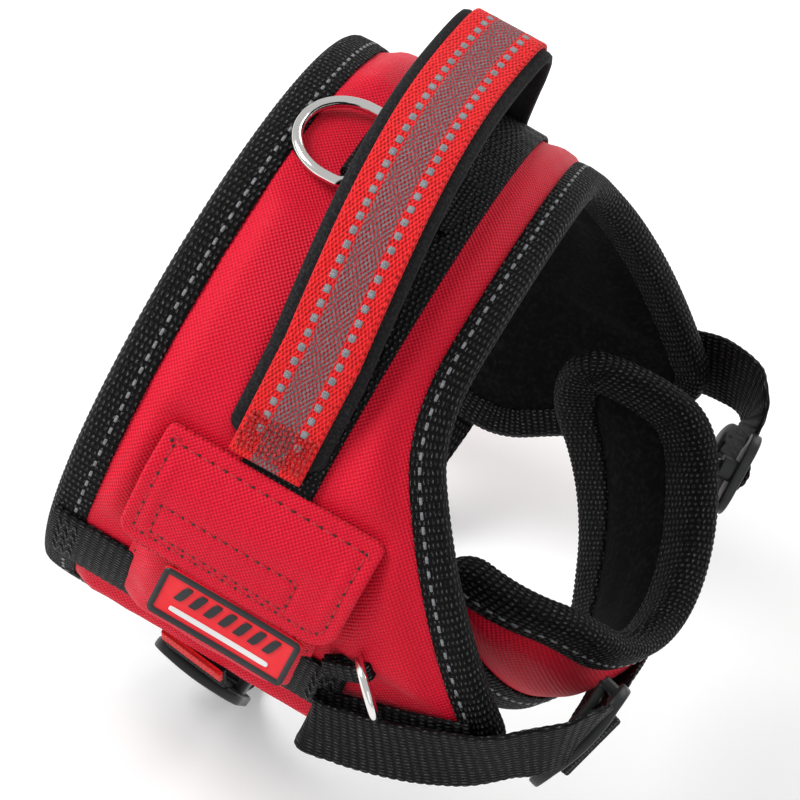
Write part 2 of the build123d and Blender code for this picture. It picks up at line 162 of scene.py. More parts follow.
def through(stations, step=0.6):
    """A smooth path through (point, across) stations: points and directions across, evenly spaced."""
    points = np.array([s[0] for s in stations], float)
    across = unit([s[1] for s in stations])
    knots = line_lengths(points)
    values = np.hstack([points, across])
    slopes = np.gradient(values, knots, axis=0)
    at = np.linspace(0, knots[-1], int(knots[-1] / step) * 3)
    k = np.clip(np.searchsorted(knots, at, "right") - 1, 0, len(knots) - 2)
    gap = (knots[k + 1] - knots[k])[:, None]
    t = (at - knots[k])[:, None] / gap
    line = (
        (2 * t**3 - 3 * t**2 + 1) * values[k] + (t**3 - 2 * t**2 + t) * gap * slopes[k]
        + (3 * t**2 - 2 * t**3) * values[k + 1] + (t**3 - t**2) * gap * slopes[k + 1]
    )
    lengths = line_lengths(line[:, :3])
    even = np.linspace(0, lengths[-1], max(4, int(lengths[-1] / step)))
    line = values_at(even, lengths, line)
    return line[:, :3], unit(line[:, 3:])


# ================= making pieces =================

def finish_mesh(name, points, faces, corner_uv, material, flat_faces=0):
    mesh = bpy.data.meshes.new(name)
    mesh.from_pydata((np.asarray(points, float).reshape(-1, 3) * MM).tolist(), [], faces)
    layer = mesh.uv_layers.new(name="cloth")
    layer.data.foreach_set("uv", np.asarray(corner_uv, np.float32).ravel())
    mesh.materials.append(material)
    smooth = np.ones(len(faces), bool)
    if flat_faces:
        smooth[-flat_faces:] = False
    mesh.polygons.foreach_set("use_smooth", smooth)
    mesh.update()
    piece = bpy.data.objects.new(name, mesh)
    scene.collection.objects.link(piece)
    return piece


def lattice(name, points, u, v, material, loop_u=False, loop_v=False, caps=False):
    """A mesh over a grid of points. u and v, in mm, number its rows and columns for the weave."""
    rows, cols = points.shape[:2]
    last_row, last_col = rows if loop_u else rows - 1, cols if loop_v else cols - 1
    i, j = np.meshgrid(np.arange(last_row), np.arange(last_col), indexing="ij")
    i, j = i.ravel(), j.ravel()
    i2, j2 = (i + 1) % rows, (j + 1) % cols
    quads = np.stack([i * cols + j, i * cols + j2, i2 * cols + j2, i2 * cols + j], 1)
    u, v = np.asarray(u, float), np.asarray(v, float)
    uv = np.stack([u[i], v[j], u[i], v[j + 1], u[i + 1], v[j + 1], u[i + 1], v[j]], 1).reshape(-1, 2)
    faces, flat = quads.tolist(), 0
    if caps:
        faces += [list(range(cols))[::-1], list(range((rows - 1) * cols, rows * cols))]
        uv = np.vstack([uv, np.stack([np.full(cols, u[0]), v[:cols]], 1)[::-1],
                        np.stack([np.full(cols, u[-1]), v[:cols]], 1)])
        flat = 2
    return finish_mesh(name, points, faces, uv, material, flat)


def strap_section(width, thick, count=12):
    """Closed outline of a strap's section, as (across, up), from the middle of one edge."""
    half, r = width / 2 - thick / 2, thick / 2
    top = [(w, r) for w in np.linspace(-half, half, count)]
    right = [(half + r * sin(a), r * cos(a)) for a in (pi / 4, pi / 2, 3 * pi / 4)]
    return np.array(top + right + [(-w, -h) for w, h in top] + [(-w, -h) for w, h in right])


def round_section(radius, count=14):
    turn = np.arange(count) * 2 * pi / count
    return np.stack([radius * np.cos(turn), radius * np.sin(turn)], 1)


def perimeter(section):
    loop = np.vstack([section, section[:1]])
    return line_lengths(loop)


def sweep(name, points, across, section, material, rib=0.0, pitch=2.4, curl=0.0, closed=False, shape=None):
    """A section carried along a path. rib is the height of cross ribs, curl lifts the strap's edges."""
    points = np.asarray(points, float)
    along = loop_way(points) if closed else unit(np.gradient(points, axis=0))
    across = np.broadcast_to(np.asarray(across, float), points.shape)
    across = unit(across - along * np.sum(along * across, 1)[:, None])
    up = np.cross(along, across)
    lengths = line_lengths(points)
    wide, high = section[:, 0][None, :], section[:, 1][None, :]
    wide, high = np.repeat(wide, len(points), 0), np.repeat(high, len(points), 0)
    if shape is not None:
        wide, high = shape(lengths[:, None] / lengths[-1], wide, high)
    if rib:
        crest = np.abs(np.sin(pi * lengths / pitch))[:, None] ** 0.6 - 0.5
        high = high + np.sign(high) * rib * crest * (np.abs(high) > 1e-6)
        wide = wide * (1 + 0.012 * crest)
    high = high + curl * (wide / (np.abs(wide).max() + 1e-9)) ** 4
    grid = points[:, None] + across[:, None] * wide[..., None] + up[:, None] * high[..., None]
    around = perimeter(section)
    if closed:
        lengths = np.r_[lengths, lengths[-1] + np.linalg.norm(points[0] - points[-1])]
    return lattice(name, grid, lengths, around, material, loop_u=closed, loop_v=True, caps=not closed)


def stitches(name, runs, length, pitch, width, height, material, sink=0.15):
    """Rows of raised thread, also used as dark discs of painted shade at needle holes. Each run is (points,
    surface normals); one stitch every pitch along it.
    """
    ring = [(-1, 0), (-0.9, 0.88), (0, 1), (0.9, 0.88), (1, 0), (0.9, -0.88), (0, -1), (-0.9, -0.88)]
    rise = (0.2, 1.0, 1.0, 1.0, 0.2, 1.0, 1.0, 1.0)
    verts, faces, uv = [], [], []
    for points, normals in runs:
        points, normals = np.asarray(points, float), unit(normals)
        lengths = line_lengths(points)
        for at in np.arange(pitch / 2, lengths[-1], pitch):
            middle = values_at(at, lengths, points)
            ahead = values_at(at + 0.4, lengths, points)
            behind = values_at(at - 0.4, lengths, points)
            up = unit(values_at(at, lengths, normals))
            along = unit(ahead - behind + 1e-9)
            side = np.cross(up, along)
            base = len(verts)
            for low in (True, False):
                for (x, y), lift in zip(ring, rise):
                    squeeze = 1.0 if low else 0.8
                    level = -sink if low else height * (0.55 + 0.45 * lift)
                    spot = middle + along * x * length / 2 * squeeze + side * y * width / 2 * squeeze
                    verts.append(spot + up * level)
            verts.append(middle + up * height * 1.15)
            for k in range(8):
                n = (k + 1) % 8
                faces.append([base + k, base + n, base + 8 + n, base + 8 + k])
                faces.append([base + 8 + k, base + 8 + n, base + 16])
                uv += [(at + k, 0), (at + k + 1, 0), (at + k + 1, 1), (at + k, 1)]
                uv += [(at, 0), (at + 1, 0), (at, 1)]
            faces.append([base + k for k in range(7, -1, -1)])
            uv += [(at, 0)] * 8
    return finish_mesh(name, verts, faces, uv, material)


def place(piece, body, slot, *nodes):
    """The piece rides on a CAD body and stands for CAD nodes. slot is not used."""
    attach(piece, body)
    if nodes:
        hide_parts(*nodes)
    return piece


def join(pieces, name):
    """Several pieces made into one."""
    bpy.ops.object.select_all(action="DESELECT")
    for piece in pieces:
        piece.select_set(True)
    bpy.context.view_layer.objects.active = pieces[0]
    bpy.ops.object.join()
    pieces[0].name = name
    return pieces[0]


# ================= materials =================

class Shade:
    """One procedural material. u and v are the cloth's own coordinates in mm."""

    def __init__(self, name, **sockets):
        self.material = bpy.data.materials.new(name)
        self.material.use_nodes = True
        self.tree = self.material.node_tree
        self.shader = self.tree.nodes["Principled BSDF"]
        for socket, value in sockets.items():
            self.shader.inputs[socket.replace("_", " ")].default_value = value
        split = self.add("ShaderNodeSeparateXYZ")
        self.uv = self.add("ShaderNodeUVMap").outputs[0]
        self.uv.node.uv_map = "cloth"
        self.tree.links.new(self.uv, split.inputs[0])
        self.u, self.v = split.outputs[0], split.outputs[1]
        self.place = self.add("ShaderNodeTexCoord").outputs["Object"]

    def add(self, kind):
        return self.tree.nodes.new(kind)

    def put(self, value, socket):
        if isinstance(value, bpy.types.NodeSocket):
            self.tree.links.new(value, socket)
        else:
            socket.default_value = value

    def math(self, operation, *values):
        node = self.add("ShaderNodeMath")
        node.operation = operation
        for value, socket in zip(values, node.inputs):
            self.put(value, socket)
        return node.outputs[0]

    def wave(self, value, pitch):
        """Sine of a coordinate, from -1 to 1."""
        turned = self.math("MULTIPLY_ADD", value, 2 * pi / pitch, 0.0)
        return self.math("SINE", turned)

    def step(self, value, low, high):
        node = self.add("ShaderNodeMapRange")
        node.interpolation_type = "SMOOTHSTEP"
        self.put(value, node.inputs["Value"])
        self.put(low, node.inputs["From Min"])
        self.put(high, node.inputs["From Max"])
        return node.outputs[0]

    def noise(self, scale, detail=2.0, stretch=None):
        """Noise in space, scale per metre, or over the cloth with stretch (per mm along u and v)."""
        node = self.add("ShaderNodeTexNoise")
        node.inputs["Detail"].default_value = detail
        node.inputs["Roughness"].default_value = 0.5
        node.inputs["Scale"].default_value = scale
        if stretch:
            scaled = self.add("ShaderNodeVectorMath")
            scaled.operation = "MULTIPLY"
            self.put(self.uv, scaled.inputs[0])
            scaled.inputs[1].default_value = (stretch[0], stretch[1], 1)
            self.put(scaled.outputs[0], node.inputs["Vector"])
        else:
            self.put(self.place, node.inputs["Vector"])
        return node.outputs["Fac"]

    def mix(self, factor, first, second):
        node = self.add("ShaderNodeMix")
        node.data_type = "RGBA"
        self.put(factor, node.inputs["Factor"])
        self.put(first if isinstance(first, bpy.types.NodeSocket) else (*first, 1), node.inputs[6])
        self.put(second if isinstance(second, bpy.types.NodeSocket) else (*second, 1), node.inputs[7])
        return node.outputs[2]

    def finish(self, colour, rough, height, depth):
        """Links colour and roughness, and a bump whose full height is depth metres."""
        self.put(colour, self.shader.inputs["Base Color"])
        self.put(rough, self.shader.inputs["Roughness"])
        bump = self.add("ShaderNodeBump")
        bump.inputs["Strength"].default_value = 1.0
        bump.inputs["Distance"].default_value = depth
        self.put(height, bump.inputs["Height"])
        self.tree.links.new(bump.outputs[0], self.shader.inputs["Normal"])
        return self.material


def cloth_material(name, base, dark, light, pitch=1.2):
    """Plain woven polyester: a fine grid of threads, a little sheen and faint uneven dye."""
    s = Shade(name, Sheen_Weight=0.07, Sheen_Roughness=0.35, Specular_IOR_Level=0.16)
    weave = s.math("MULTIPLY", s.wave(s.u, pitch), s.wave(s.v, pitch))
    fleck = s.noise(1.0, 1, (1.6, 1.6))
    broad = s.noise(26, 2)
    thread = s.math("ADD", s.math("MULTIPLY", weave, 0.6), s.math("MULTIPLY_ADD", fleck, 0.9, -0.45))
    shade = s.mix(s.step(thread, -0.7, 0.6), dark, base)
    shade = s.mix(s.math("MULTIPLY", s.step(thread, 0.25, 0.9), 0.55), shade, light)
    shade = s.mix(s.math("MULTIPLY", s.step(broad, 0.35, 0.7), 0.18), shade, dark)
    rough = s.math("MULTIPLY_ADD", fleck, 0.18, 0.46)
    return s.finish(shade, rough, thread, 0.00016)


def ribbed_material(name, pitch, bead, dark=(0.0018, 0.0018, 0.0021), painted_glint_colour=(0.16, 0.16, 0.165), painted_glint_amount=0.5):
    """Black webbing or tape: ribs across it, each a row of beads, with painted highlights as bright specks on
    the beads' crests.
    """
    s = Shade(name, Specular_IOR_Level=0.1)
    ribs = s.math("ABSOLUTE", s.wave(s.u, 2 * pitch))
    parity = s.math("GREATER_THAN", s.wave(s.u, 4 * pitch), 0.0)
    shift = s.math("MULTIPLY", parity, bead / 2)
    beads = s.wave(s.math("ADD", s.v, shift), bead)
    on_ribs = s.math("MULTIPLY", ribs, 0.6)
    height = s.math("ADD", on_ribs, s.math("MULTIPLY", beads, s.math("MULTIPLY", ribs, 0.5)))
    painted_glint_spots = s.noise(1.0, 2, (1.1, 3.2))
    grain = s.noise(1.0, 1, (4.5, 4.5))
    # painted highlight: bright specks only where the beads stand highest
    fleck = s.math("MULTIPLY", s.step(height, 0.45, 1.0), s.step(painted_glint_spots, 0.42, 0.66))
    fleck = s.math("MULTIPLY", fleck, s.step(grain, 0.3, 0.6))
    shade = s.mix(s.math("MULTIPLY", fleck, painted_glint_amount), dark, painted_glint_colour)
    rough = s.math("MULTIPLY_ADD", grain, 0.25, 0.4)
    height = s.math("ADD", height, s.math("MULTIPLY", grain, 0.35))
    return s.finish(shade, rough, height, 0.0003)


def plain_webbing_material(name, base, dark, light, pitch=1.05):
    """Coarse webbing in one colour: a chunky uneven plain weave."""
    s = Shade(name, Specular_IOR_Level=0.18, Sheen_Weight=0.03)
    weave = s.math("MULTIPLY", s.wave(s.u, 1.9 * pitch), s.wave(s.v, pitch))
    lumps = s.noise(1.0, 2, (0.95, 1.7))
    height = s.math("ADD", s.math("MULTIPLY", weave, 0.5), s.math("MULTIPLY_ADD", lumps, 1.3, -0.65))
    shade = s.mix(s.step(height, -0.55, 0.15), dark, base)
    shade = s.mix(s.math("MULTIPLY", s.step(height, 0.15, 0.75), 0.6), shade, light)
    return s, shade, height


def handle_material():
    """The handle's webbing: red, with a grey reflective mesh down its middle third."""
    s, shade, height = plain_webbing_material("handle_weave", RED_WEB, RED_WEB_DARK, RED_WEB_LIGHT)
    middle = s.math("ABSOLUTE", s.math("SUBTRACT", s.v, (WEBBING - PLY) / 2))
    mesh = s.math("MULTIPLY", s.wave(s.u, 1.7), s.wave(s.v, 1.25))
    grain = s.noise(1.0, 2, (2.0, 2.4))
    weft = s.step(s.math("ADD", mesh, s.math("MULTIPLY_ADD", grain, 2.4, -1.2)), -0.25, 0.2)
    grey = s.mix(s.noise(1.0, 1, (0.9, 0.9)), (0.045, 0.05, 0.055), (0.24, 0.25, 0.27))
    mixed = s.mix(s.math("MULTIPLY", weft, 0.93), (0.36, 0.02, 0.025), grey)
    zone = s.math("SUBTRACT", 1.0, s.step(middle, 3.5, 4.1))
    shade = s.mix(zone, shade, mixed)
    return s.finish(shade, 0.62, height, 0.0004)


def pile_material(name, base, light, scale=900, depth=0.0003, rough=0.9):
    """Brushed lining, foam or hook tape: a fine directionless nap."""
    s = Shade(name, Specular_IOR_Level=0.08, Sheen_Weight=0.02)
    nap = s.noise(scale, 3)
    broad = s.noise(40, 2)
    shade = s.mix(s.step(nap, 0.4, 0.75), base, light)
    shade = s.mix(s.math("MULTIPLY", s.step(broad, 0.4, 0.7), 0.4), shade, base)
    return s.finish(shade, rough, nap, depth)


def plastic_material(name, base, light):
    """Moulded acetal: fine spark grain, slightly shinier where it is rubbed."""
    s = Shade(name, Specular_IOR_Level=0.3)
    grain = s.noise(2600, 2)
    rub = s.noise(90, 3)
    shade = s.mix(s.math("MULTIPLY", s.step(rub, 0.5, 0.75), 0.5), base, light)
    rough = s.math("MULTIPLY_ADD", rub, -0.25, 0.5)
    return s.finish(shade, rough, grain, 0.00006)


def metal_material(name):
    """Nickel plated wire with faint drawing lines and handling marks."""
    s = Shade(name, Metallic=1.0)
    lines = s.noise(1.0, 2, (0.4, 9.0))
    marks = s.noise(160, 3)
    shade = s.mix(s.math("MULTIPLY", marks, 0.5), (0.82, 0.81, 0.79), (0.62, 0.61, 0.59))
    rough = s.math("MULTIPLY_ADD", s.math("ADD", lines, marks), 0.09, 0.04)
    return s.finish(shade, rough, lines, 0.00001)


def thread_material(name, base, light):
    """Sewing thread or flat reflective yarn: two twisted plies. It also colours dark discs that are painted
    shade in needle holes.
    """
    s = Shade(name, Specular_IOR_Level=0.5)
    ply = s.wave(s.math("ADD", s.u, s.v), 0.8)
    grain = s.noise(700, 2)
    shade = s.mix(s.step(s.math("ADD", ply, grain), 0.0, 1.5), base, light)
    return s.finish(shade, 0.5, ply, 0.00004)


RED = (0.80, 0.006, 0.034)
RED_DARK = (0.44, 0.002, 0.014)
RED_LIGHT = (0.92, 0.030, 0.075)
RED_WEB = (0.84, 0.012, 0.016)
RED_WEB_DARK = (0.34, 0.001, 0.004)
RED_WEB_LIGHT = (0.95, 0.10, 0.08)

red_cloth = cloth_material("red_oxford_cloth", RED, RED_DARK, RED_LIGHT)
# the bright colours and amounts given below paint highlights on the ribs
edge_tape = ribbed_material("edge_tape_weave", RIB, BEAD, painted_glint_amount=0.75, painted_glint_colour=(0.22, 0.22, 0.225))
black_web = ribbed_material("black_webbing_weave", 2.4, 1.1, painted_glint_amount=0.7, painted_glint_colour=(0.2, 0.2, 0.205))
coarse_black = ribbed_material("black_heavy_weave", 1.3, 1.5, painted_glint_amount=0.8)
handle_web = handle_material()
anchor_shader, anchor_colour, anchor_weave = plain_webbing_material(
    "red_webbing_weave", RED_WEB, RED_WEB_DARK, RED_WEB_LIGHT)
red_web = anchor_shader.finish(anchor_colour, 0.6, anchor_weave, 0.0004)
lining_nap = pile_material("lining_nap", (0.0018, 0.0018, 0.0018), (0.008, 0.008, 0.008), 700, 0.0002)
neoprene = pile_material("neoprene_skin", (0.010, 0.010, 0.011), (0.028, 0.028, 0.030), 1500, 0.00012, 0.75)
hook_nap = pile_material("hook_tape_nap", (0.25, 0.004, 0.010), (0.55, 0.02, 0.04), 1300, 0.0006, 0.8)
black_plastic = plastic_material("moulded_black", (0.018, 0.019, 0.020), (0.045, 0.046, 0.048))
wire = metal_material("plated_wire")
grey_thread = thread_material("reflective_thread", (0.15, 0.155, 0.165), (0.26, 0.27, 0.29))
red_thread = thread_material("red_thread", (0.50, 0.006, 0.02), (0.70, 0.03, 0.05))
tack_thread = thread_material("bartack_thread", (0.20, 0.001, 0.004), (0.80, 0.02, 0.02))
# this dark colour is real thread on the pouch and painted shade in the flap's needle holes
dark_thread_and_hole_shade = thread_material("dark_thread_and_hole_shade", (0.012, 0.003, 0.004), (0.04, 0.01, 0.012))
black_thread = thread_material("black_thread", (0.006, 0.006, 0.006), (0.05, 0.05, 0.05))
badge_red = plastic_material("badge_red_rubber", (0.78, 0.018, 0.028), (0.84, 0.04, 0.05))
badge_black = plastic_material("badge_black_rubber", (0.022, 0.023, 0.025), (0.04, 0.04, 0.042))
badge_pale = plastic_material("badge_pale_rubber", (0.72, 0.72, 0.72), (0.8, 0.8, 0.8))


# ================= curved panels =================

def girth(a, b, h):
    """A point of the saddle: a round the girth from the spine to the right, b along X, h off its middle."""
    turn, r = np.asarray(a) / SADDLE_MID, SADDLE_MID + h
    return np.stack(np.broadcast_arrays(b, -r * np.sin(turn), r * np.cos(turn)), -1).astype(float)


def chest(a, b, h):
    """A point of the chest pad: a round it from the front to the right, b its height, h off its middle."""
    turn, r = np.asarray(a) / CHEST_MID, CHEST_MID + h
    centre = 52.0 + 0.457 * (np.asarray(b) + 25.0)
    return np.stack(np.broadcast_arrays(centre + r * np.cos(turn), -r * np.sin(turn), b), -1).astype(float)


def unrolled(chain, cosine, pick, middle):
    """Turns a side view line into (a, b), evenly round the curve where the side view is steep."""
    c = cosine(chain)
    end = int(np.argmin(c))
    chain, c = chain[: end + 1], c[: end + 1]
    order = np.argsort(c, kind="stable")
    turns = np.linspace(0, radians(60), 60)
    steep = [(middle * t, np.interp(cos(t), c[order], chain[order][:, pick])) for t in turns]
    rest = [(middle * np.arccos(k), p[pick]) for k, p in zip(c, chain) if k < cos(turns[-1]) - 1e-4]
    return np.array(steep + rest)


def outline_of(first, second):
    """The closed outline of a panel whose two edges run from its middle to its right end."""
    mirrored = np.array([-1, 1])
    loop = np.vstack([first, second[::-1], second * mirrored, (first * mirrored)[::-1]])
    return smooth_line(resample(loop, 0.48, closed=True), 6, closed=True)


def inset(outline, distance):
    """The outline moved inward."""
    ahead, behind = np.roll(outline, -3, 0), np.roll(outline, 3, 0)
    along = unit(ahead - behind)
    after = np.roll(outline, -1, 0)
    area = np.sum(outline[:, 0] * after[:, 1] - after[:, 0] * outline[:, 1])
    return outline + np.stack([-along[:, 1], along[:, 0]], 1) * np.sign(area) * distance


def edge_distance(outline, a, b):
    """Distance from each grid point to the outline."""
    flat = np.stack([a.ravel(), b.ravel()], 1)
    chunks = np.array_split(flat, 30)
    near = [np.sqrt(((chunk[:, None] - outline[None, ::3]) ** 2).sum(2)).min(1) for chunk in chunks]
    return np.concatenate(near).reshape(a.shape)


def region(outline, spacing, ease=(0.0, 0.15, 0.45, 0.9, 1.6, 2.6)):
    """A grid of (a, b) that fills an outline, row by row along a, finer at its border."""
    low, high = outline[:, 0].argmin(), outline[:, 0].argmax()
    ring = np.roll(outline, -low, 0)
    split = (high - low) % len(outline)
    one, two = ring[: split + 1], np.vstack([ring[split:], ring[:1]])[::-1]
    span = ring[split, 0] - ring[0, 0]

    def stations(length):
        edge = np.array(ease)
        inner = np.linspace(edge[-1], length - edge[-1], max(3, int(length / spacing)))
        return np.r_[edge[:-1], inner, length - edge[:-1][::-1]] / length

    rows = ring[0, 0] + stations(span) * span
    rows[0], rows[-1] = rows[0] + 1e-3 * span, rows[-1] - 1e-3 * span
    first = np.interp(rows, one[:, 0], one[:, 1])
    second = np.interp(rows, two[:, 0], two[:, 1])
    part = stations(np.median(np.abs(first - second)))
    a = np.repeat(rows[:, None], len(part), 1)
    b = first[:, None] * (1 - part) + second[:, None] * part
    return a, b


def closed_shell(name, upper, lower, a, b, material):
    """A closed solid between two grids of points; a and b, in mm, number them for the weave."""
    rows, cols = a.shape
    verts = np.vstack([upper.reshape(-1, 3), lower.reshape(-1, 3)])
    count = rows * cols
    i, j = np.meshgrid(np.arange(rows - 1), np.arange(cols - 1), indexing="ij")
    i, j = i.ravel(), j.ravel()
    quad = np.stack([i * cols + j, (i + 1) * cols + j, (i + 1) * cols + j + 1, i * cols + j + 1], 1)
    border = [*range(cols), *range(2 * cols - 1, count, cols), *range(count - 2, count - cols - 1, -1),
              *range(count - 2 * cols, 0, -cols)]
    after = border[1:] + border[:1]
    skirt = [[k, n, count + n, count + k] for k, n in zip(border, after)]
    faces = quad.tolist() + (quad[:, ::-1] + count).tolist() + skirt
    where = np.tile(np.stack([a.ravel(), b.ravel()], 1), (2, 1))
    piece = finish_mesh(name, verts, faces, where[np.array(faces).ravel()], material)
    return outward(piece)


def outward(piece):
    """Turns every face of a closed piece to look outward."""
    bm = bmesh.new()
    bm.from_mesh(piece.data)
    bmesh.ops.recalc_face_normals(bm, faces=bm.faces)
    bm.to_mesh(piece.data)
    bm.free()
    return piece


saddle_corners = [
    ((32, 142), 0), ((32, 60), 30), ((87, -6), 14), ((75, -32), 20),
    ((40, -52), 30), ((-47, -52), 12), ((-47, 142), 0),
]
saddle_line = rounded(saddle_corners, 0.5)
hem_middle = int(np.argmin(np.abs(saddle_line[:, 0]) + 10 * np.abs(saddle_line[:, 1] + 52)))
saddle_front = unrolled(saddle_line[: hem_middle + 1], lambda p: p[:, 1] / SADDLE_R, 0, SADDLE_MID)
saddle_back = unrolled(saddle_line[hem_middle:][::-1], lambda p: p[:, 1] / SADDLE_R, 0, SADDLE_MID)
saddle_outline = outline_of(saddle_front, saddle_back)

chest_corners = [
    ((130, -28), 0), ((91, 15), 22), ((46, 13), 12), ((46, -11), 25), ((89, -51), 20), ((130, -51), 0),
]
chest_line = rounded(chest_corners, 0.5)


def chest_cosine(p):
    return (p[:, 0] - 52.0 - 0.457 * (p[:, 1] + 25.0)) / CHEST_R


tip = int(np.argmin(chest_cosine(chest_line)))
chest_top = unrolled(chest_line[: tip + 1], chest_cosine, 1, CHEST_MID)
chest_foot = unrolled(chest_line[tip:][::-1], chest_cosine, 1, CHEST_MID)
chest_outline = outline_of(chest_top, chest_foot)


# ================= padded panels =================

def inflate(upper, lower, free, cap, pressure, slack):
    """Blows up a closed form of two grids with Blender's Cloth. free is 0 where it is sewn; cap, in mm,
    is the furthest that each point may move."""
    rows, cols = free.shape
    form = closed_shell("cloth_form", upper, lower, free, free, red_cloth)
    size = 10.0                                # Cloth is steadier on a form ten times as large
    form.data.transform(Matrix.Scale(size, 4))
    start = np.array([v.co for v in form.data.vertices])
    pins = form.vertex_groups.new(name="sewn")
    for index, share in enumerate(np.tile(free.ravel(), 2)):
        pins.add([index], float(1 - share), "REPLACE")
    cloth = form.modifiers.new("puff", "CLOTH")
    cloth.settings.quality = 5
    cloth.settings.mass = 0.05
    cloth.settings.tension_stiffness = 8
    cloth.settings.compression_stiffness = 8
    cloth.settings.shear_stiffness = 4
    cloth.settings.bending_stiffness = 0.3
    cloth.settings.use_pressure = True
    cloth.settings.uniform_pressure_force = pressure
    cloth.settings.vertex_group_mass = "sewn"
    cloth.settings.effector_weights.gravity = 0
    cloth.settings.shrink_min = -slack
    cloth.collision_settings.use_collision = False
    cloth.point_cache.frame_start = 1
    cloth.point_cache.frame_end = 20
    for step in range(1, 21):
        scene.frame_set(step)
    shown = form.evaluated_get(bpy.context.evaluated_depsgraph_get())
    moved = np.array([v.co for v in shown.data.vertices])
    scene.frame_set(1)
    bpy.data.objects.remove(form)
    move = (moved - start) / size / MM
    far = np.linalg.norm(move, axis=1)
    limit = np.tile(cap.ravel(), 2)
    print(f"cloth moved {far.max():.2f} mm at most and {far.mean():.2f} on average")
    move *= (limit * np.tanh(far / np.maximum(limit, 1e-6)) / np.maximum(far, 1e-9))[:, None]
    move = move.reshape(2, rows, cols, 3)
    return upper + move[0], lower + move[1]


def padded_panel(name, point, outline, half, lift, sink, cap, body):
    """The cover and the lining of a foam panel: crowned, blown up between its sewn lines."""
    a, b = region(inset(outline, 1.5), 2.2)
    d = edge_distance(outline, a, b)
    seam = 0.7 + (half - 0.7) * smoothstep(d, 1.5, 6.5)
    upper, lower = point(a, b, seam + lift(a, b, d)), point(a, b, -seam - sink(a, b, d))
    free = smoothstep(d, 8.5, 13)
    upper, lower = inflate(upper, lower, free, cap(a, b, d), CLOTH_PRESSURE, CLOTH_SLACK)
    middle = (upper + lower) / 2
    inward = unit(middle - upper + 1e-9)
    cover = closed_shell(name + "_cover_cloth", upper, upper + inward * 0.8, a, b, red_cloth)
    lining = closed_shell(name + "_lining_cloth", lower, lower - inward * 0.8, a, b, lining_nap)
    place(cover, body, "red_cloth", name + "_cover", name + "_foam")
    place(lining, body, "black_lining", name + "_lining")


def tape_section(half):
    """The folded edge tape's section as (distance in from the edge, height), a thin C."""
    out = [(TAPE, half + 0.3), (TAPE - 0.15, half + 0.95), (TAPE - 0.9, half + 1.15),
           (TAPE - 2.2, half + 1.2), (6.9, half + 1.2), (5.4, half + 1.2), (3.9, half + 1.15),
           (2.6, half + 0.95), (1.5, half + 0.45),
           (0.6, half - 0.4), (0.1, half - 1.6), (0.0, 0.0)]
    out = out + [(d, -h) for d, h in out[-2::-1]]
    back = []
    for d, h in out[::-1]:
        thinner = max(0.2, (abs(h) - 0.9) / max(abs(h), 0.1))
        back.append((d + (0.0 if d > 9 else 0.9), h * thinner))
    return np.array(out), np.array(back)


def edge_binding(name, point, outline, half, body, node, narrow=0.0):
    """Ribbed tape folded over a panel's edge, with a row of reflective dashes on its outer face.
    Towards the front less of it shows on the outer face, by the share called narrow."""
    share = 1 - narrow * smoothstep(outline[:, 1], 0, 25)[:, None]
    ahead, behind = np.roll(outline, -1, 0), np.roll(outline, 1, 0)
    along = unit(ahead - behind)
    area = np.sum(outline[:, 0] * ahead[:, 1] - ahead[:, 0] * outline[:, 1])
    inward = np.stack([-along[:, 1], along[:, 0]], 1) * np.sign(area)
    lengths = np.r_[0, np.cumsum(np.linalg.norm(ahead - outline, axis=1))]
    ribs = max(1, round(lengths[-1] / RIB))
    u = lengths * ribs * RIB / lengths[-1]
    crest = np.abs(np.sin(pi * u[:-1] / RIB)) ** 0.7
    out, back = tape_section(half)
    normal = np.gradient(out, axis=0)
    normal = unit(np.stack([normal[:, 1], -normal[:, 0]], 1))
    normal *= np.sign(np.sum(normal * (out - [4.0, 0.0]), 1))[:, None]
    bead = 0.07 * np.sin(np.arange(len(out)) * 1.9)
    d = out[None, :, 0] + normal[None, :, 0] * (0.32 * crest[:, None] - 0.12 + bead)
    h = out[None, :, 1] + normal[None, :, 1] * (0.32 * crest[:, None] - 0.12 + bead)
    d = np.hstack([d, np.repeat(back[None, :, 0], len(d), 0)])
    h = np.hstack([h, np.repeat(back[None, :, 1], len(h), 0)])
    d = d * share
    grid = point(outline[:, :1] + inward[:, :1] * d, outline[:, 1:] + inward[:, 1:] * d, h)
    round_tape = perimeter(np.vstack([out, back]))
    tape = lattice(name + "_tape", grid, u, round_tape, edge_tape, loop_u=True, loop_v=True)
    place(outward(tape), body, "edge_tape", node)
    row = outline + inward * (TAPE - 3.3) * share
    rise = half + 1.28
    line = point(row[:, 0], row[:, 1], rise)
    runs = [(line, point(row[:, 0], row[:, 1], rise + 1) - line)]
    dashes = stitches(name + "_dashes", runs, 2.3, 3.7, 0.95, 0.2, grey_thread)
    place(dashes, body, "edge_tape")


def near_rectangle(a, b, low_a, high_a, low_b, high_b):
    """Distance from a rectangle on the cloth, 0 inside it."""
    da = np.maximum(np.maximum(low_a - a, a - high_a), 0)
    db = np.maximum(np.maximum(low_b - b, b - high_b), 0)
    return np.hypot(da, db)


CLOTH_PRESSURE, CLOTH_SLACK = 60.0, 0.03
SEWN_LIFT = 1.0                                # height of the cover's cloth where webbing is sewn to it


def saddle_free(a, b):
    """0 where webbing, a pocket or the leash ring lies on the saddle, 1 well away from them."""
    free = smoothstep(near_rectangle(a, b, -92, 92, -7, 13), 0, 9)
    free = free * smoothstep(near_rectangle(np.abs(a), b, 127, 153, -47, 92), 0, 7)
    free = free * smoothstep(near_rectangle(np.abs(a), b, 90, 155, -25, 33), 0, 7)
    return free * smoothstep(np.hypot(a - 10, b + 28), 17, 27)


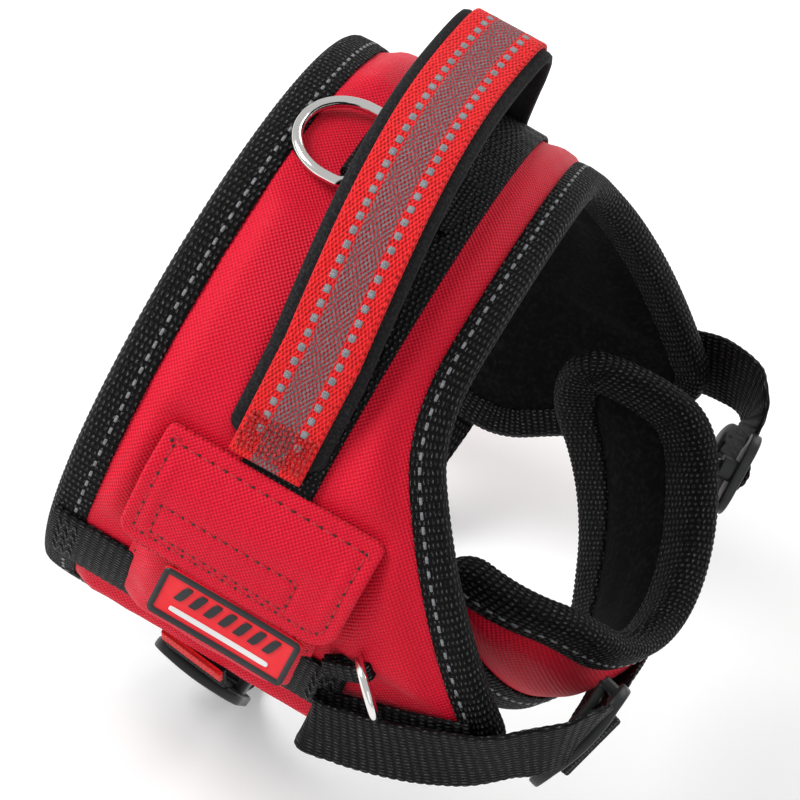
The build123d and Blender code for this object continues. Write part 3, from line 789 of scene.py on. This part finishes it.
def saddle_lift(a, b, d):
    puff = 2.3 * smoothstep(d, 8.5, 19) + 0.35 * smoothstep(d, 8, 14) * wobble(a, b, 30, 3)
    pucker = 0.22 * np.exp(-((d - 13) / 4) ** 2) * wobble(a, b, 7, 5)
    free = saddle_free(a, b)
    return SEWN_LIFT * (1 - free) * smoothstep(d, 8, 12) + (puff + pucker) * free


def saddle_sink(a, b, d):
    return 0.5 * smoothstep(d, 8, 18) + 0.3 * smoothstep(d, 9, 18) * wobble(a, b, 34, 8)


def saddle_cap(a, b, d):
    return 0.02 + 1.6 * smoothstep(d, 9, 18) * saddle_free(a, b)


def chest_lift(a, b, d):
    return 1.7 * smoothstep(d, 8.5, 17) + 0.3 * smoothstep(d, 9, 16) * wobble(a, b, 22, 13)


def chest_sink(a, b, d):
    return 0.5 * smoothstep(d, 8, 16) + 0.3 * smoothstep(d, 9, 16) * wobble(a, b, 20, 17)


def chest_cap(a, b, d):
    return 0.02 + 1.3 * smoothstep(d, 9, 17)


padded_panel("saddle", girth, saddle_outline, SADDLE_HALF, saddle_lift, saddle_sink, saddle_cap,
             "harness")
padded_panel("chest_pad", chest, chest_outline, CHEST_HALF, chest_lift, chest_sink, chest_cap,
             "chest_pad")
edge_binding("saddle_edge", girth, saddle_outline, SADDLE_HALF, "harness", "saddle_binding", 0.18)
edge_binding("chest_pad_edge", chest, chest_outline, CHEST_HALF, "chest_pad", "chest_pad_binding")


# ================= straps sewn on the saddle =================

def surface_strap(name, line, width, level, material, rib, pitch, body, slot, node):
    """Webbing that lies on the saddle along a line of (a, b)."""
    line = resample(np.asarray(line, float), 0.6)
    along = unit(np.gradient(line, axis=0))
    section = strap_section(width, PLY)
    lengths = line_lengths(line)
    crest = np.abs(np.sin(pi * lengths / pitch))[:, None] ** 0.6 - 0.5
    high = section[None, :, 1] + np.sign(section[None, :, 1]) * rib * crest
    wide = section[None, :, 0] * (1 + 0.012 * crest)
    grid = girth(line[:, :1] - along[:, 1:] * wide, line[:, 1:] + along[:, :1] * wide, level + PLY / 2 + high)
    piece = lattice(name, grid, lengths, perimeter(section), material, loop_v=True, caps=True)
    return place(outward(piece), body, slot, node)


def zigzag(a0, a1, b0, b1, rows, teeth, level):
    """Sewing runs to and fro over a patch of the saddle."""
    runs = []
    for k in range(rows):
        a = a0 + (a1 - a0) * (k + 0.5) / rows
        b = np.linspace(b0, b1, teeth * 2)
        line = a + (a1 - a0) / rows * 0.42 * np.where(np.arange(teeth * 2) % 2, 1, -1)
        points = girth(line, b, level)
        runs.append((points, girth(line, b, level + 1) - points))
    return runs


LOW = STRAP_R - SADDLE_MID                      # height of the first layer of webbing
surface_strap("back_strap_webbing", [(-92.5, 3), (92.5, 3)], 20.0, LOW, coarse_black, 0.12, 1.3,
              "harness", "black_webbing", "back_strap")
for side, sign in SIDES:
    line = [(sign * 141.8, -45), (sign * 141.8, 42)]
    surface_strap("side_strap_webbing_" + side, line, 20.6, LOW, black_web, 0.16, 2.4,
                  "harness", "black_webbing", "side_strap_" + side)
    runs = zigzag(sign * 134, sign * 150, 33.5, 40, 4, 3, LOW + PLY + 0.15) + zigzag(
        sign * 134, sign * 150, -43, -37, 4, 3, LOW + PLY + 0.15)
    sewing = stitches("side_strap_stitching_" + side, runs, 1.6, 1.7, 0.5, 0.12, black_thread)
    place(sewing, "harness", "black_webbing")


# ================= grab handle =================

HANDLE_TURN = radians(2.5)
HANDLE_BOW = 4.0                                # the free arch sags towards the tail by this much
HANDLE_X = np.array([-sin(HANDLE_TURN), cos(HANDLE_TURN), 0.0])
HANDLE_ACROSS = -np.array([cos(HANDLE_TURN), sin(HANDLE_TURN), 0.0])
PATCH_R = STRAP_R + 1.5 * PLY + 0.9


def on_circle(radius, angle):
    return (radius * cos(radians(angle)), radius * sin(radians(angle)))


def handle_line(offset=0.0):
    flat = rounded([(on_circle(PATCH_R, 154), 0), ((-64, 66), 45), ((-47, 90), 45), ((-10, 104.5), 95),
                    ((41, 105.5), 13), ((47, 84), 20), (on_circle(PATCH_R, 50), 16),
                    (on_circle(PATCH_R, 38), 0)], 0.5)
    flat = smooth_line(flat, 30)
    along = unit(np.gradient(flat, axis=0))
    flat = flat + np.stack([-along[:, 1], along[:, 0]], 1) * offset
    bow = np.clip(1 - ((flat[:, :1] + 10) / 53) ** 2, 0, 1)
    middle = np.array([-4.5, 0, 0]) - bow * np.array([HANDLE_BOW, 0, 0])
    return middle + flat[:, :1] * HANDLE_X + flat[:, 1:] * np.array([0, 0, 1.0])


handle_path = handle_line()
handle_strap = sweep("handle_strap", handle_path, HANDLE_ACROSS, strap_section(WEBBING, PLY, 16),
                     handle_web, rib=0.22, pitch=1.9)
outward(handle_strap)
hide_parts("handle_webbing", "handle_end_right", "handle_end_left")

PAD_THICK = 3.2
pad_path = handle_line(-(PLY + PAD_THICK) / 2 - 0.05)
pad_path = pad_path[5:-10]


def pad_shape(share, wide, high):
    """Rounded, thinner ends; the face against the webbing stays where it is."""
    length = np.linalg.norm(np.diff(pad_path, axis=0), axis=1).sum()
    end = np.minimum(share, 1 - share) * length
    narrow = np.sqrt(np.clip(1 - (1 - np.clip(end / 5, 0, 1)) ** 2, 0.02, 1))
    thin = 0.22 + 0.78 * smoothstep(end, 2, 24)
    return wide * narrow, PAD_THICK / 2 - (PAD_THICK / 2 - high) * thin


handle_pad = sweep("handle_pad_neoprene", resample(pad_path, 0.8), HANDLE_ACROSS,
                   strap_section(26.2, PAD_THICK, 14), neoprene, shape=pad_shape)
outward(handle_pad)
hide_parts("handle_pad")

path_along = unit(np.gradient(handle_path, axis=0))
path_up = np.cross(path_along, HANDLE_ACROSS)
rows = [(handle_path[14:-14] + HANDLE_ACROSS * w + path_up[14:-14] * (PLY / 2 + 0.08), path_up[14:-14])
        for w in (-5.2, 5.2)]
handle_dashes = stitches("handle_dashes", rows, 2.4, 3.9, 2.1, 0.1, grey_thread)

tacks = []
for first, last in ((4, 26), (-26, -4)):
    piece_of_path = handle_path[first:last]
    ups = path_up[first:last]
    for k, w in enumerate(np.linspace(-8.6, 8.6, 15)):
        jitter = rng.normal(0, 0.25, (len(piece_of_path), 1)) * HANDLE_ACROSS
        tacks.append((piece_of_path + HANDLE_ACROSS * w + jitter + ups * (PLY / 2 + 0.1), ups))
handle_tacks = stitches("handle_bartacks", tacks, 1.5, 1.75, 0.75, 0.3, tack_thread)

for piece in (handle_strap, handle_pad, handle_dashes, handle_tacks):
    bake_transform(piece)


# ================= leash ring =================

RING_TURN, RING_PITCH, RING_WIRE, RING_REACH = radians(7.4), radians(4.0), 1.5, 13.5
RING_BAR = -20.0
loop_level = STRAP_R + 1.5 * PLY + 0.05
ring_fold = RING_WIRE + 0.3 + PLY / 2
ring_height = loop_level - 1.6 + ring_fold
ring_up = np.array([0, -sin(RING_TURN), cos(RING_TURN)])
ring_side = np.array([0, cos(RING_TURN), sin(RING_TURN)])
ring_on = np.array([cos(RING_PITCH), 0, 0]) + ring_up * sin(RING_PITCH)
bar_centre = np.array([RING_BAR, 0, 0]) + ring_up * ring_height
flat = rounded([((0, 0), 0), ((0, RING_REACH), 2.6), ((-18.5, RING_REACH), 13.2),
                ((-18.5, -RING_REACH), 13.2), ((0, -RING_REACH), 2.6), ((0, -0.4), 0)], 0.4)
flat = smooth_line(flat, 4, closed=True)
ring_path = bar_centre + flat[:, :1] * ring_on + flat[:, 1:] * ring_side
ring_face = np.cross(ring_on, ring_side)
ring = sweep("leash_ring_wire", ring_path, np.cross(ring_face, loop_way(ring_path)),
             round_section(RING_WIRE, 20), wire, closed=True)
place(outward(ring), "leash_ring", "chrome_wire", "d_ring")

turn = [(RING_BAR - ring_fold * sin(f), ring_height - ring_fold * cos(f)) for f in np.linspace(0, pi, 12)]
flat = [(8, loop_level), (0, loop_level), (-8, loop_level), (-11, loop_level - 0.8), (-14, loop_level - 1.6)]
flat = np.array(flat + turn + [(-16, ring_height + ring_fold), (-10, ring_height + ring_fold + 0.4),
                               (-4, ring_height + ring_fold + 0.2), (3, ring_height + ring_fold - 0.7)])
flat = smooth_line(resample(flat, 0.5), 6)
loop_path = np.array([[x, 0, 0] for x, z in flat]) + flat[:, 1:] * ring_up
loop = sweep("leash_ring_loop_webbing", loop_path, -ring_side, strap_section(WEBBING, PLY), coarse_black,
             rib=0.12, pitch=1.3)
place(outward(loop), "harness", "black_webbing", "d_ring_loop")


# ================= side rings =================

for side, sign in SIDES:
    flip = np.array([1, sign, 1])
    centre = np.array([47.4, -92.1, 3.3]) * flip
    normal = unit(np.array([0.70, 0.54, 0.47]) * flip)
    first = unit(np.cross(normal, [0, 0, 1.0]))
    second = np.cross(normal, first)
    around = np.arange(72) * 2 * pi / 72
    circle = centre + 7.6 * (np.cos(around)[:, None] * first + np.sin(around)[:, None] * second)
    ring = sweep("side_ring_wire_" + side, circle, np.cross(normal, loop_way(circle)), round_section(1.1, 16),
                 wire, closed=True)
    place(outward(ring), "side_ring_" + side, "chrome_wire", "side_ring_" + side)
    inward = np.array([-0.449, 0.842, -0.302]) * flip
    tangent = unit(np.array([-0.559, 0.0, 0.831]) * flip)
    held = centre + inward * 7.6
    backward = unit(np.cross(tangent, [0, 1.0, 0]))
    backward = backward if backward[0] < 0 else -backward
    up = np.cross(tangent, backward)
    fold = 1.1 + 0.6 + PLY / 2
    turn = [(-fold * sin(f), fold * cos(f)) for f in np.linspace(0, pi, 24)]
    flat = [(10.5, 0.8), (8, 1.0), (4, fold * 0.85)] + turn + [(4, -fold * 0.85), (8, -1.0), (10.5, -0.8)]
    flat = smooth_line(resample(np.array(flat), 0.25), 6)
    tab = sweep("side_ring_tab_webbing_" + side, held + flat[:, :1] * backward + flat[:, 1:] * up, tangent,
                strap_section(5.4, PLY, 8), black_web, rib=0.1, pitch=1.2)
    place(outward(tab), "harness", "black_webbing", "side_ring_tab_" + side)


# ================= pockets =================

def box_outline(low_a, high_a, low_b, high_b, corners):
    """Rounded rectangle on the cloth; corner radii go round from (low a, low b)."""
    r0, r1, r2, r3 = corners
    middle = ((low_a + high_a) / 2, low_b)
    points = [(middle, 0), ((high_a, low_b), r1), ((high_a, high_b), r2), ((low_a, high_b), r3),
              ((low_a, low_b), r0), ((middle[0] - 0.2, low_b), 0)]
    return rounded(points, 0.4)


def rim(d, thick):
    """Height share of a rounded edge."""
    return np.sqrt(np.clip(1 - (1 - np.clip(d / (thick / 2), 0, 1)) ** 2, 0, 1))


def cloth_patch(name, outline, bottom, thick, dress, spacing, material, sign):
    """A closed cloth piece on the saddle between a lower height and its thickness, dressed with folds."""
    a, b = region(outline, spacing, (0, 0.1, 0.3, 0.6, 1.1, 1.8))
    d = edge_distance(outline, a, b)
    base = bottom(a, b, d)
    middle = base + thick / 2
    swell = thick / 2 * rim(d, thick)
    upper = girth(sign * a, b, middle + swell + dress(a, b, d))
    lower = girth(sign * a, b, middle - swell)
    return closed_shell(name, upper, lower, a * 1.1, b, material)


FLAP = (90.2, 121.2, -27.0, 35.0)
POUCH = (94.3, 155.6, -23.0, 31.0)
TAPE_BOX = (108.0, 116.0, -19.0, 20.0)


def flap_base(a, b, d):
    rise = 4.6 + 4.9 * smoothstep(a, 89, 104)
    folds = 0.25 * wobble(a, b, 28, 23) * smoothstep(a, 95, 110)
    return rise + folds - 0.5 * smoothstep(b, 24, 35) * smoothstep(a, 96, 112)


def flap_dress(a, b, d):
    hem = 0.35 * (1 - smoothstep(d, 6.0, 8.0))
    groove = -0.34 * np.exp(-(((d - 3.6) / 0.9) ** 2))
    low_a, high_a, low_b, high_b = TAPE_BOX
    inside = np.minimum(np.minimum(a - low_a, high_a - a), np.minimum(b - low_b, high_b - b))
    box = -0.3 * np.exp(-((inside / 0.85) ** 2)) + 0.12 * smoothstep(inside, 0, 2)
    quilt = 0.08 * wobble(a, b, 6, 29)
    return (hem + groove + box + quilt) * smoothstep(d, 0, 0.8)


def pouch_top(a, b, d):
    folds = 0.45 * wobble(a, b, 15, 31) * smoothstep(d, 1, 7) * smoothstep(a, 118, 140)
    return 3.4 * smoothstep(d, 0, 9) + folds


def still(a, b, d):
    return 0 * a


for side, sign in SIDES:
    flap_body = "pocket_flap_" + side
    pouch_outline = box_outline(*POUCH, (3, 9, 9, 3))
    pouch = cloth_patch("pocket_pouch_cloth_" + side, pouch_outline, lambda a, b, d: 4.15 + 0 * a, 1.0,
                        pouch_top, 1.5, red_cloth, sign)
    place(pouch, "harness", "red_cloth", "pocket_pouch_" + side)
    seam = inset(pouch_outline, 1.6)
    keep = seam[(seam[:, 0] > 128)]
    order = np.argsort(np.arctan2(keep[:, 0] - 128, keep[:, 1] - 4))
    keep = keep[order]
    level = 4.15 + 1.0 + pouch_top(keep[:, 0], keep[:, 1], np.full(len(keep), 1.6))
    line = girth(sign * keep[:, 0], keep[:, 1], level)
    runs = [(line, girth(sign * keep[:, 0], keep[:, 1], level + 1) - line)]
    place(stitches("pouch_stitching_" + side, runs, 1.6, 3.0, 0.4, 0.1, dark_thread_and_hole_shade), "harness", "red_cloth")

    loop_tape = cloth_patch("loop_tape_pile_" + side, box_outline(106.8, 117.1, -15, 23, (1, 1, 1, 1)),
                            lambda a, b, d: 8.35 + 0 * a, 0.6, still, 1.2, hook_nap, sign)
    place(loop_tape, "harness", "hook_and_loop", "pocket_loop_tape_" + side)
    hook_tape = cloth_patch("hook_tape_pile_" + side, box_outline(106.8, 117.1, -15, 23, (1, 1, 1, 1)),
                            lambda a, b, d: 9.2 + 0 * a, 0.6, still, 1.2, hook_nap, sign)
    place(hook_tape, flap_body, "hook_and_loop", "flap_hook_tape_" + side)

    flap_outline = box_outline(*FLAP, (2.0, 4.5, 7.0, 2.5))
    flap = cloth_patch("pocket_flap_cloth_" + side, flap_outline, flap_base, 1.35, flap_dress, 0.9,
                       red_cloth, sign)
    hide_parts("pocket_flap_" + side)

    def on_flap(line):
        far = edge_distance(flap_outline, line[:, :1], line[:, 1:])[:, 0]
        level = (flap_base(line[:, 0], line[:, 1], far) + 1.35 + flap_dress(line[:, 0], line[:, 1], far))
        points = girth(sign * line[:, 0], line[:, 1], level)
        return points, girth(sign * line[:, 0], line[:, 1], level + 1) - points

    low_a, high_a, low_b, high_b = TAPE_BOX
    box = resample([(low_a, low_b), (low_a, high_b), (high_a, high_b), (high_a, low_b), (low_a, low_b)], 0.5)
    hem_line = inset(flap_outline, 3.6)
    threads = stitches("flap_thread_" + side, [on_flap(hem_line)], 2.6, 3.9, 0.45, 0.2, red_thread)
    # dark discs between the hem stitches: painted shade in the needle holes
    hole_shade = stitches("flap_needle_hole_shade_" + side, [on_flap(np.roll(hem_line, -5, 0))], 1.0, 3.9, 0.9, 0.16,
                     dark_thread_and_hole_shade)
    box_threads = stitches("flap_box_thread_" + side, [on_flap(box)], 2.0, 3.1, 0.45, 0.2, red_thread)
    # dark discs between the box stitches: painted shade in the needle holes
    box_hole_shade = stitches("flap_box_hole_shade_" + side, [on_flap(np.roll(box[:-1], -3, 0))], 0.95, 3.1, 0.85,
                         0.16, dark_thread_and_hole_shade)
    top_point = girth(sign * 90.5, 4.0, 10.6)
    low_point = girth(sign * 98.0, 4.0, 10.6)
    for piece in (flap, threads, hole_shade, box_threads, box_hole_shade):
        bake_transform(piece)


# ================= pull badge =================

BADGE_LEAN = radians(20)

for side, sign in SIDES:
    flap_body = "pocket_flap_" + side
    out = np.array([0, -sign * cos(BADGE_LEAN), sin(BADGE_LEAN)])
    x = np.array([1.0, 0, 0])
    y = np.array([0, sign * sin(BADGE_LEAN), cos(BADGE_LEAN)])
    top_edge = np.array([8.5, -sign * 88.8 * cos(radians(1.1)), 88.8 * sin(radians(1.1))])
    origin = top_edge - y * 7

    def plate(a, b, h):
        a, b, h = np.broadcast_arrays(a, b, h)
        bend = 0.35 * (a / 21) ** 2
        return origin + a[..., None] * x + b[..., None] * y + (h + bend)[..., None] * out

    def raised(name, outline, low, high, spacing, material):
        a, b = region(outline, spacing, (0, 0.06, 0.18, 0.35))
        d = edge_distance(outline, a, b)
        soft = np.minimum(0.35, (high - low) / 2)
        drop = soft * (1 - rim(d, 2 * soft))
        return closed_shell(name, plate(a, b, high - drop), plate(a, b, low + 0 * a), a, b, material)

    # a strip of cloth, sewn inside the flap's hem and moulded into the badge, holds the badge on the flap
    held_at = [girth(sign * a, 8.5, flap_base(np.array(a), np.array(8.5), 0) + 0.55) for a in (119.6, 115.0)]
    tongue_path = np.array([plate(0.0, 3.5, 0.55), plate(0.0, 6.6, 0.55), *held_at]).reshape(-1, 3)
    tongue_path = resample(tongue_path, 0.4)
    tongue = sweep("badge_tongue_" + side, tongue_path, x, strap_section(34.0, 0.7, 12), red_cloth)
    place(outward(tongue), flap_body, "red_cloth")

    base_line = box_outline(-20, 20, -7, 7, (1.2, 1.2, 1.2, 1.2))
    base = raised("badge_base_" + side, base_line, 0.0, 1.15, 1.2, badge_red)
    place(base, flap_body, "badge_rubber", "pull_badge_" + side)
    frame_line = box_outline(-19.1, 19.1, -6.1, 6.1, (0.8, 0.8, 0.8, 0.8))
    frame_path = plate(frame_line[:, 0], frame_line[:, 1], 1.15)
    frame_section = np.array([(-0.8, -0.3), (-0.8, 0.35), (-0.6, 0.5), (0.6, 0.5), (0.8, 0.35), (0.8, -0.3)])
    border = sweep("badge_border_" + side, frame_path, np.cross(loop_way(frame_path), out), frame_section,
                   badge_black, closed=True)
    place(outward(border), flap_body, "badge_rubber")
    marks = []
    for k in range(7):
        shift = -14.6 + 4.3 * k
        slant = rounded([((shift, -0.2), 0), ((shift + 2.3, -0.2), 0.3), ((shift + 4.0, 4.3), 0.3),
                         ((shift + 1.7, 4.3), 0.3), ((shift + 0.02, -0.15), 0)], 0.25)
        marks.append(raised(f"badge_bar_{k}_{side}", slant, 1.0, 1.5, 0.7, badge_black))
    place(join(marks, "badge_bars_" + side), flap_body, "badge_rubber")
    stripe_line = box_outline(-14.5, 14.5, -3.9, -2.5, (0.6, 0.6, 0.6, 0.6))
    stripe = raised("badge_stripe_" + side, stripe_line, 1.0, 1.45, 1.2, badge_pale)
    place(stripe, flap_body, "badge_rubber")


# ================= sliders =================

def bar_section(width, thick, power=3.5, count=20):
    """A flat bar's section with softened corners."""
    turn = np.arange(count) * 2 * pi / count
    c, s = np.cos(turn), np.sin(turn)
    across = width / 2 * np.sign(c) * np.abs(c) ** (2 / power)
    return np.stack([across, thick / 2 * np.sign(s) * np.abs(s) ** (2 / power)], 1)


def slider_piece(name, centre, across, face, length, bow, body, node):
    """A three bar slider of moulded plastic, bowed along its length."""
    across, face = unit(across), unit(face)
    along = np.cross(across, face)
    centre = np.array(centre, float)
    wide, deep = length / 2 - 2.7, 9.4

    def spot(x, y, h):
        x, y, h = np.broadcast_arrays(x, y, h)
        lift = h - bow * (x / (length / 2)) ** 2
        return centre + x[..., None] * across + y[..., None] * along + lift[..., None] * face

    loop = rounded([((0, -deep), 0), ((wide, -deep), 3.2), ((wide, deep), 3.2), ((-wide, deep), 3.2),
                    ((-wide, -deep), 3.2), ((-0.3, -deep), 0)], 0.5)
    path = spot(loop[:, 0], loop[:, 1], 2.5 + 0 * loop[:, 0])
    ring = sweep(name, path, np.cross(face, loop_way(path)), bar_section(6.2, 3.2, 6.0), black_plastic,
                 closed=True)
    x = np.linspace(-wide, wide, 40)
    middle = sweep(name + "_bar", spot(x, 0 * x, -2.5 + 0 * x), along, bar_section(3.2, 2.9), black_plastic)
    cheeks = []
    for end in (-1, 1):
        h = np.linspace(-3.2, 2.6, 10)
        path = spot(end * (wide + 0 * h), 0 * h, h)
        cheeks.append(sweep(name + f"_cheek{end}", path, along, bar_section(6.5, 3.4), black_plastic))
    piece = join([ring, middle, *cheeks], name)
    return place(outward(piece), body, "black_plastic", node)


def strap_between(name, stations, body, nodes, curl=0.0):
    """Black webbing carried smoothly through its stations."""
    points, across = through(stations)
    piece = sweep(name, points, across, strap_section(WEBBING, PLY), black_web, rib=0.3, pitch=2.4, curl=curl)
    return place(outward(piece), body, "black_webbing", *nodes)


slider_across = unit([0.25, 0.70, 0.67])
slider_face = unit([0.97, -0.2, -0.153])
slider_along = np.cross(slider_across, slider_face)
slider_at = np.array([100.0, -57.5, -10.5])
strap_turn = [(72, -88.0, -10.5), (57, -88.9, -18.5), (46, -88.6, -23.2), (41, -88.2, -25.0),
              (38.6, -87.4, -25.8), (37.9, -86.2, -26.0), (38.8, -85.0, -25.8), (42, -84.6, -24.6),
              (50, -84.5, -21.2), (60, -84.8, -16.5), (79, -84.5, -7.0)]     # round its sewn end on the flank
for side, sign in SIDES:
    flip = np.array([1, sign, 1])
    stations = [(slider_at + slider_along * 17, slider_across), (slider_at + slider_along * 8, slider_across),
                (slider_at, slider_across), (slider_at - slider_along * 19, slider_across),
                (slider_at - slider_along * 19 + [-3.0, -5.0, -0.5], (0.28, 0.45, 0.85)),
                ((87, -83.0, -1.5), (0.2, 0.1, 0.96)), ((80, -86.3, -6), (0.1, 0.0, 1))]
    stations += [(point, (0, 0, 1)) for point in strap_turn]
    stations = [(np.array(p) * flip, np.array(q) * flip) for p, q in stations]
    strap_between("chest_strap_webbing_" + side, stations, "chest_pad", ["chest_strap_" + side], -0.3 * sign)
    at, along = slider_at * flip, slider_along * flip
    face, across = slider_face * flip, slider_across * flip
    slider_piece("chest_slider_frame_" + side, at, across * sign, face, 34.0, 3.0,
                 "chest_slider_" + side, "chest_slider_" + side)
    hump = [(at + along * s + face * (0.2 + 4.6 * cos(s / 10.5 * pi / 2) ** 2), across)
            for s in np.linspace(-10.5, 10.5, 15)]
    strap_between("chest_slider_webbing_" + side, hump, "chest_slider_" + side, [])

front_x = 52.0 + CHEST_R + 0.05 + PLY + 0.457 * (-30.5 + 25.0)
half_run = [(slider_at + slider_along * 17.1, slider_across), (slider_at + slider_along * 21, slider_across),
            ((front_x, -26, -27.0), (0.40, 0.35, 0.85)), ((front_x + 0.6, -12, -30.5), (0.457, 0, 1))]
full_run = half_run + [((x, -y, z), (p, -q, r)) for (x, y, z), (p, q, r) in half_run[::-1]]
strap_between("chest_front_webbing", full_run, "chest_pad", ["chest_front_strap"])


# ================= belly strap =================

BELLY_TURN, BELLY_FLOOR, FOLD = radians(7.6), -85.0, 2.3
belly_right = np.array([sin(BELLY_TURN), cos(BELLY_TURN), 0])
belly_ahead = np.array([cos(BELLY_TURN), -sin(BELLY_TURN), 0])
belly_start = STRAP_R + PLY / 2 + 1.4


def belly(flat):
    flat = np.asarray(flat, float)
    return np.array([12.0, 0, 0]) + flat[:, :1] * belly_right + flat[:, 1:] * np.array([0, 0, 1.0])


low = BELLY_FLOOR - FOLD
turn = [(-22.5 + FOLD * cos(f), BELLY_FLOOR + FOLD * sin(f)) for f in np.linspace(-pi / 2, pi / 2, 10)]
near_corners = [(on_circle(belly_start, 207), 0), ((-68, -54.5), 15), ((-38, low), 15), ((-22.5, low), 0)]
near = rounded(near_corners, 0.6)
near = smooth_line(resample(np.vstack([near, turn, [(-31.5, BELLY_FLOOR + FOLD)]]), 0.6), 4)
far = rounded([(on_circle(belly_start, 333), 0), ((67, -57), 25), ((38, low), 20), ((22.5, low), 0)], 0.6)
turn = [(22.5 - FOLD * cos(f), BELLY_FLOOR + FOLD * sin(f)) for f in np.linspace(-pi / 2, pi / 2, 10)]
far = smooth_line(resample(np.vstack([far, turn, [(31.5, BELLY_FLOOR + FOLD)]]), 0.6), 4)
for line, side in ((near, "right"), (far, "left")):
    piece = sweep("belly_strap_webbing_" + side, belly(line), belly_ahead, strap_section(WEBBING, PLY),
                  black_web, rib=0.3, pitch=2.4)
    place(outward(piece), "harness", "black_webbing", "belly_strap_" + side)
first = np.array(on_circle(belly_start, 207))
run = np.array([-68, -54.5]) - first
aside = unit([run[1], -run[0]]) * (PLY + 0.05)
anchor = belly(resample([first + aside, first + aside + run * 0.36], 0.6))
piece = sweep("belly_anchor_webbing", anchor, belly_ahead, strap_section(WEBBING, PLY), red_web, rib=0.16,
              pitch=1.9)
place(outward(piece), "harness", "red_webbing", "belly_strap_anchor")
slide = np.array([-38, low]) - [-68, -54.5]
middle = belly([np.array([-68, -54.5]) + slide * 0.37])[0]
way = unit(belly([slide])[0] - [12.0, 0, 0])
face = np.cross(belly_ahead, way)
face = face if face[2] < 0 else -face
slider_piece("belly_slider_frame", middle, belly_ahead, face, 28.0, 1.2, "belly_slider", "belly_slider")
for node in ("buckle_socket", "buckle_plug", "buckle_arm_front", "buckle_arm_rear"):
    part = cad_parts[node]
    part.data.materials.clear()
    part.data.materials.append(black_plastic)
    edge = part.modifiers.new("soft_edges", "BEVEL")
    edge.width = 0.0006
    edge.segments = 2
    edge.limit_method = "ANGLE"


# ================= camera, light and floor =================

azimuth, elevation, roll = radians(5.5), radians(45), radians(26.5)
right = np.array([cos(azimuth), sin(azimuth), 0])
above = np.array([-sin(azimuth) * sin(elevation), cos(azimuth) * sin(elevation), cos(elevation)])
back = np.array([sin(azimuth) * cos(elevation), -cos(azimuth) * cos(elevation), sin(elevation)])
view_right = right * cos(roll) + above * sin(roll)
view_up = -right * sin(roll) + above * cos(roll)
target = np.array([0.014, 0.0, 0.0042])
camera = bpy.data.objects.new("camera", bpy.data.cameras.new("camera"))
camera.data.lens = 135
camera.data.sensor_width = 36
place_at = target + back * 0.813
pose = np.vstack([np.column_stack([view_right, view_up, back, place_at]), [0, 0, 0, 1]])
camera.matrix_world = Matrix(pose.tolist())
scene.collection.objects.link(camera)
scene.camera = camera


def softbox(name, way, distance, size, watts):
    """A square area light that shines on the middle of the harness."""
    light = bpy.data.lights.new(name, "AREA")
    light.size = size
    light.energy = watts
    lamp = bpy.data.objects.new(name, light)
    where = target + unit(way) * distance
    lamp.location = where
    lamp.rotation_mode = "QUATERNION"
    lamp.rotation_quaternion = Vector(target - where).to_track_quat("-Z", "Y")
    scene.collection.objects.link(lamp)


softbox("key", -0.75 * view_right + 0.9 * view_up + 0.75 * back, 0.9, 0.4, 6.4)
softbox("rim", 0.9 * view_right + 0.8 * view_up - 0.1 * back, 0.9, 0.5, 2.2)
softbox("fill", 0.6 * view_right - 0.5 * view_up + 1.0 * back, 1.0, 0.7, 1.0)

floor_size = 3.0
floor_mesh = bpy.data.meshes.new("floor")
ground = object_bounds()[0].z - 0.0004
floor_corners = [(x * floor_size, y * floor_size, ground) for x, y in ((-1, -1), (1, -1), (1, 1), (-1, 1))]
floor_mesh.from_pydata(floor_corners, [], [(0, 1, 2, 3)])
floor = bpy.data.objects.new("floor", floor_mesh)
paper = Shade("paper_floor", Emission_Strength=0.12)
paper_white = paper.mix(paper.noise(8, 2), (0.96, 0.96, 0.96), (0.97, 0.97, 0.97))
floor_mesh.materials.append(paper.finish(paper_white, 0.85, paper.noise(300, 2), 0.00002))
scene.collection.objects.link(floor)

world = bpy.data.worlds.new("studio")
world.use_nodes = True
world.node_tree.nodes["Background"].inputs["Color"].default_value = (1, 1, 1, 1)
world.node_tree.nodes["Background"].inputs["Strength"].default_value = 0.62
scene.world = world
scene.view_settings.view_transform = "Standard"
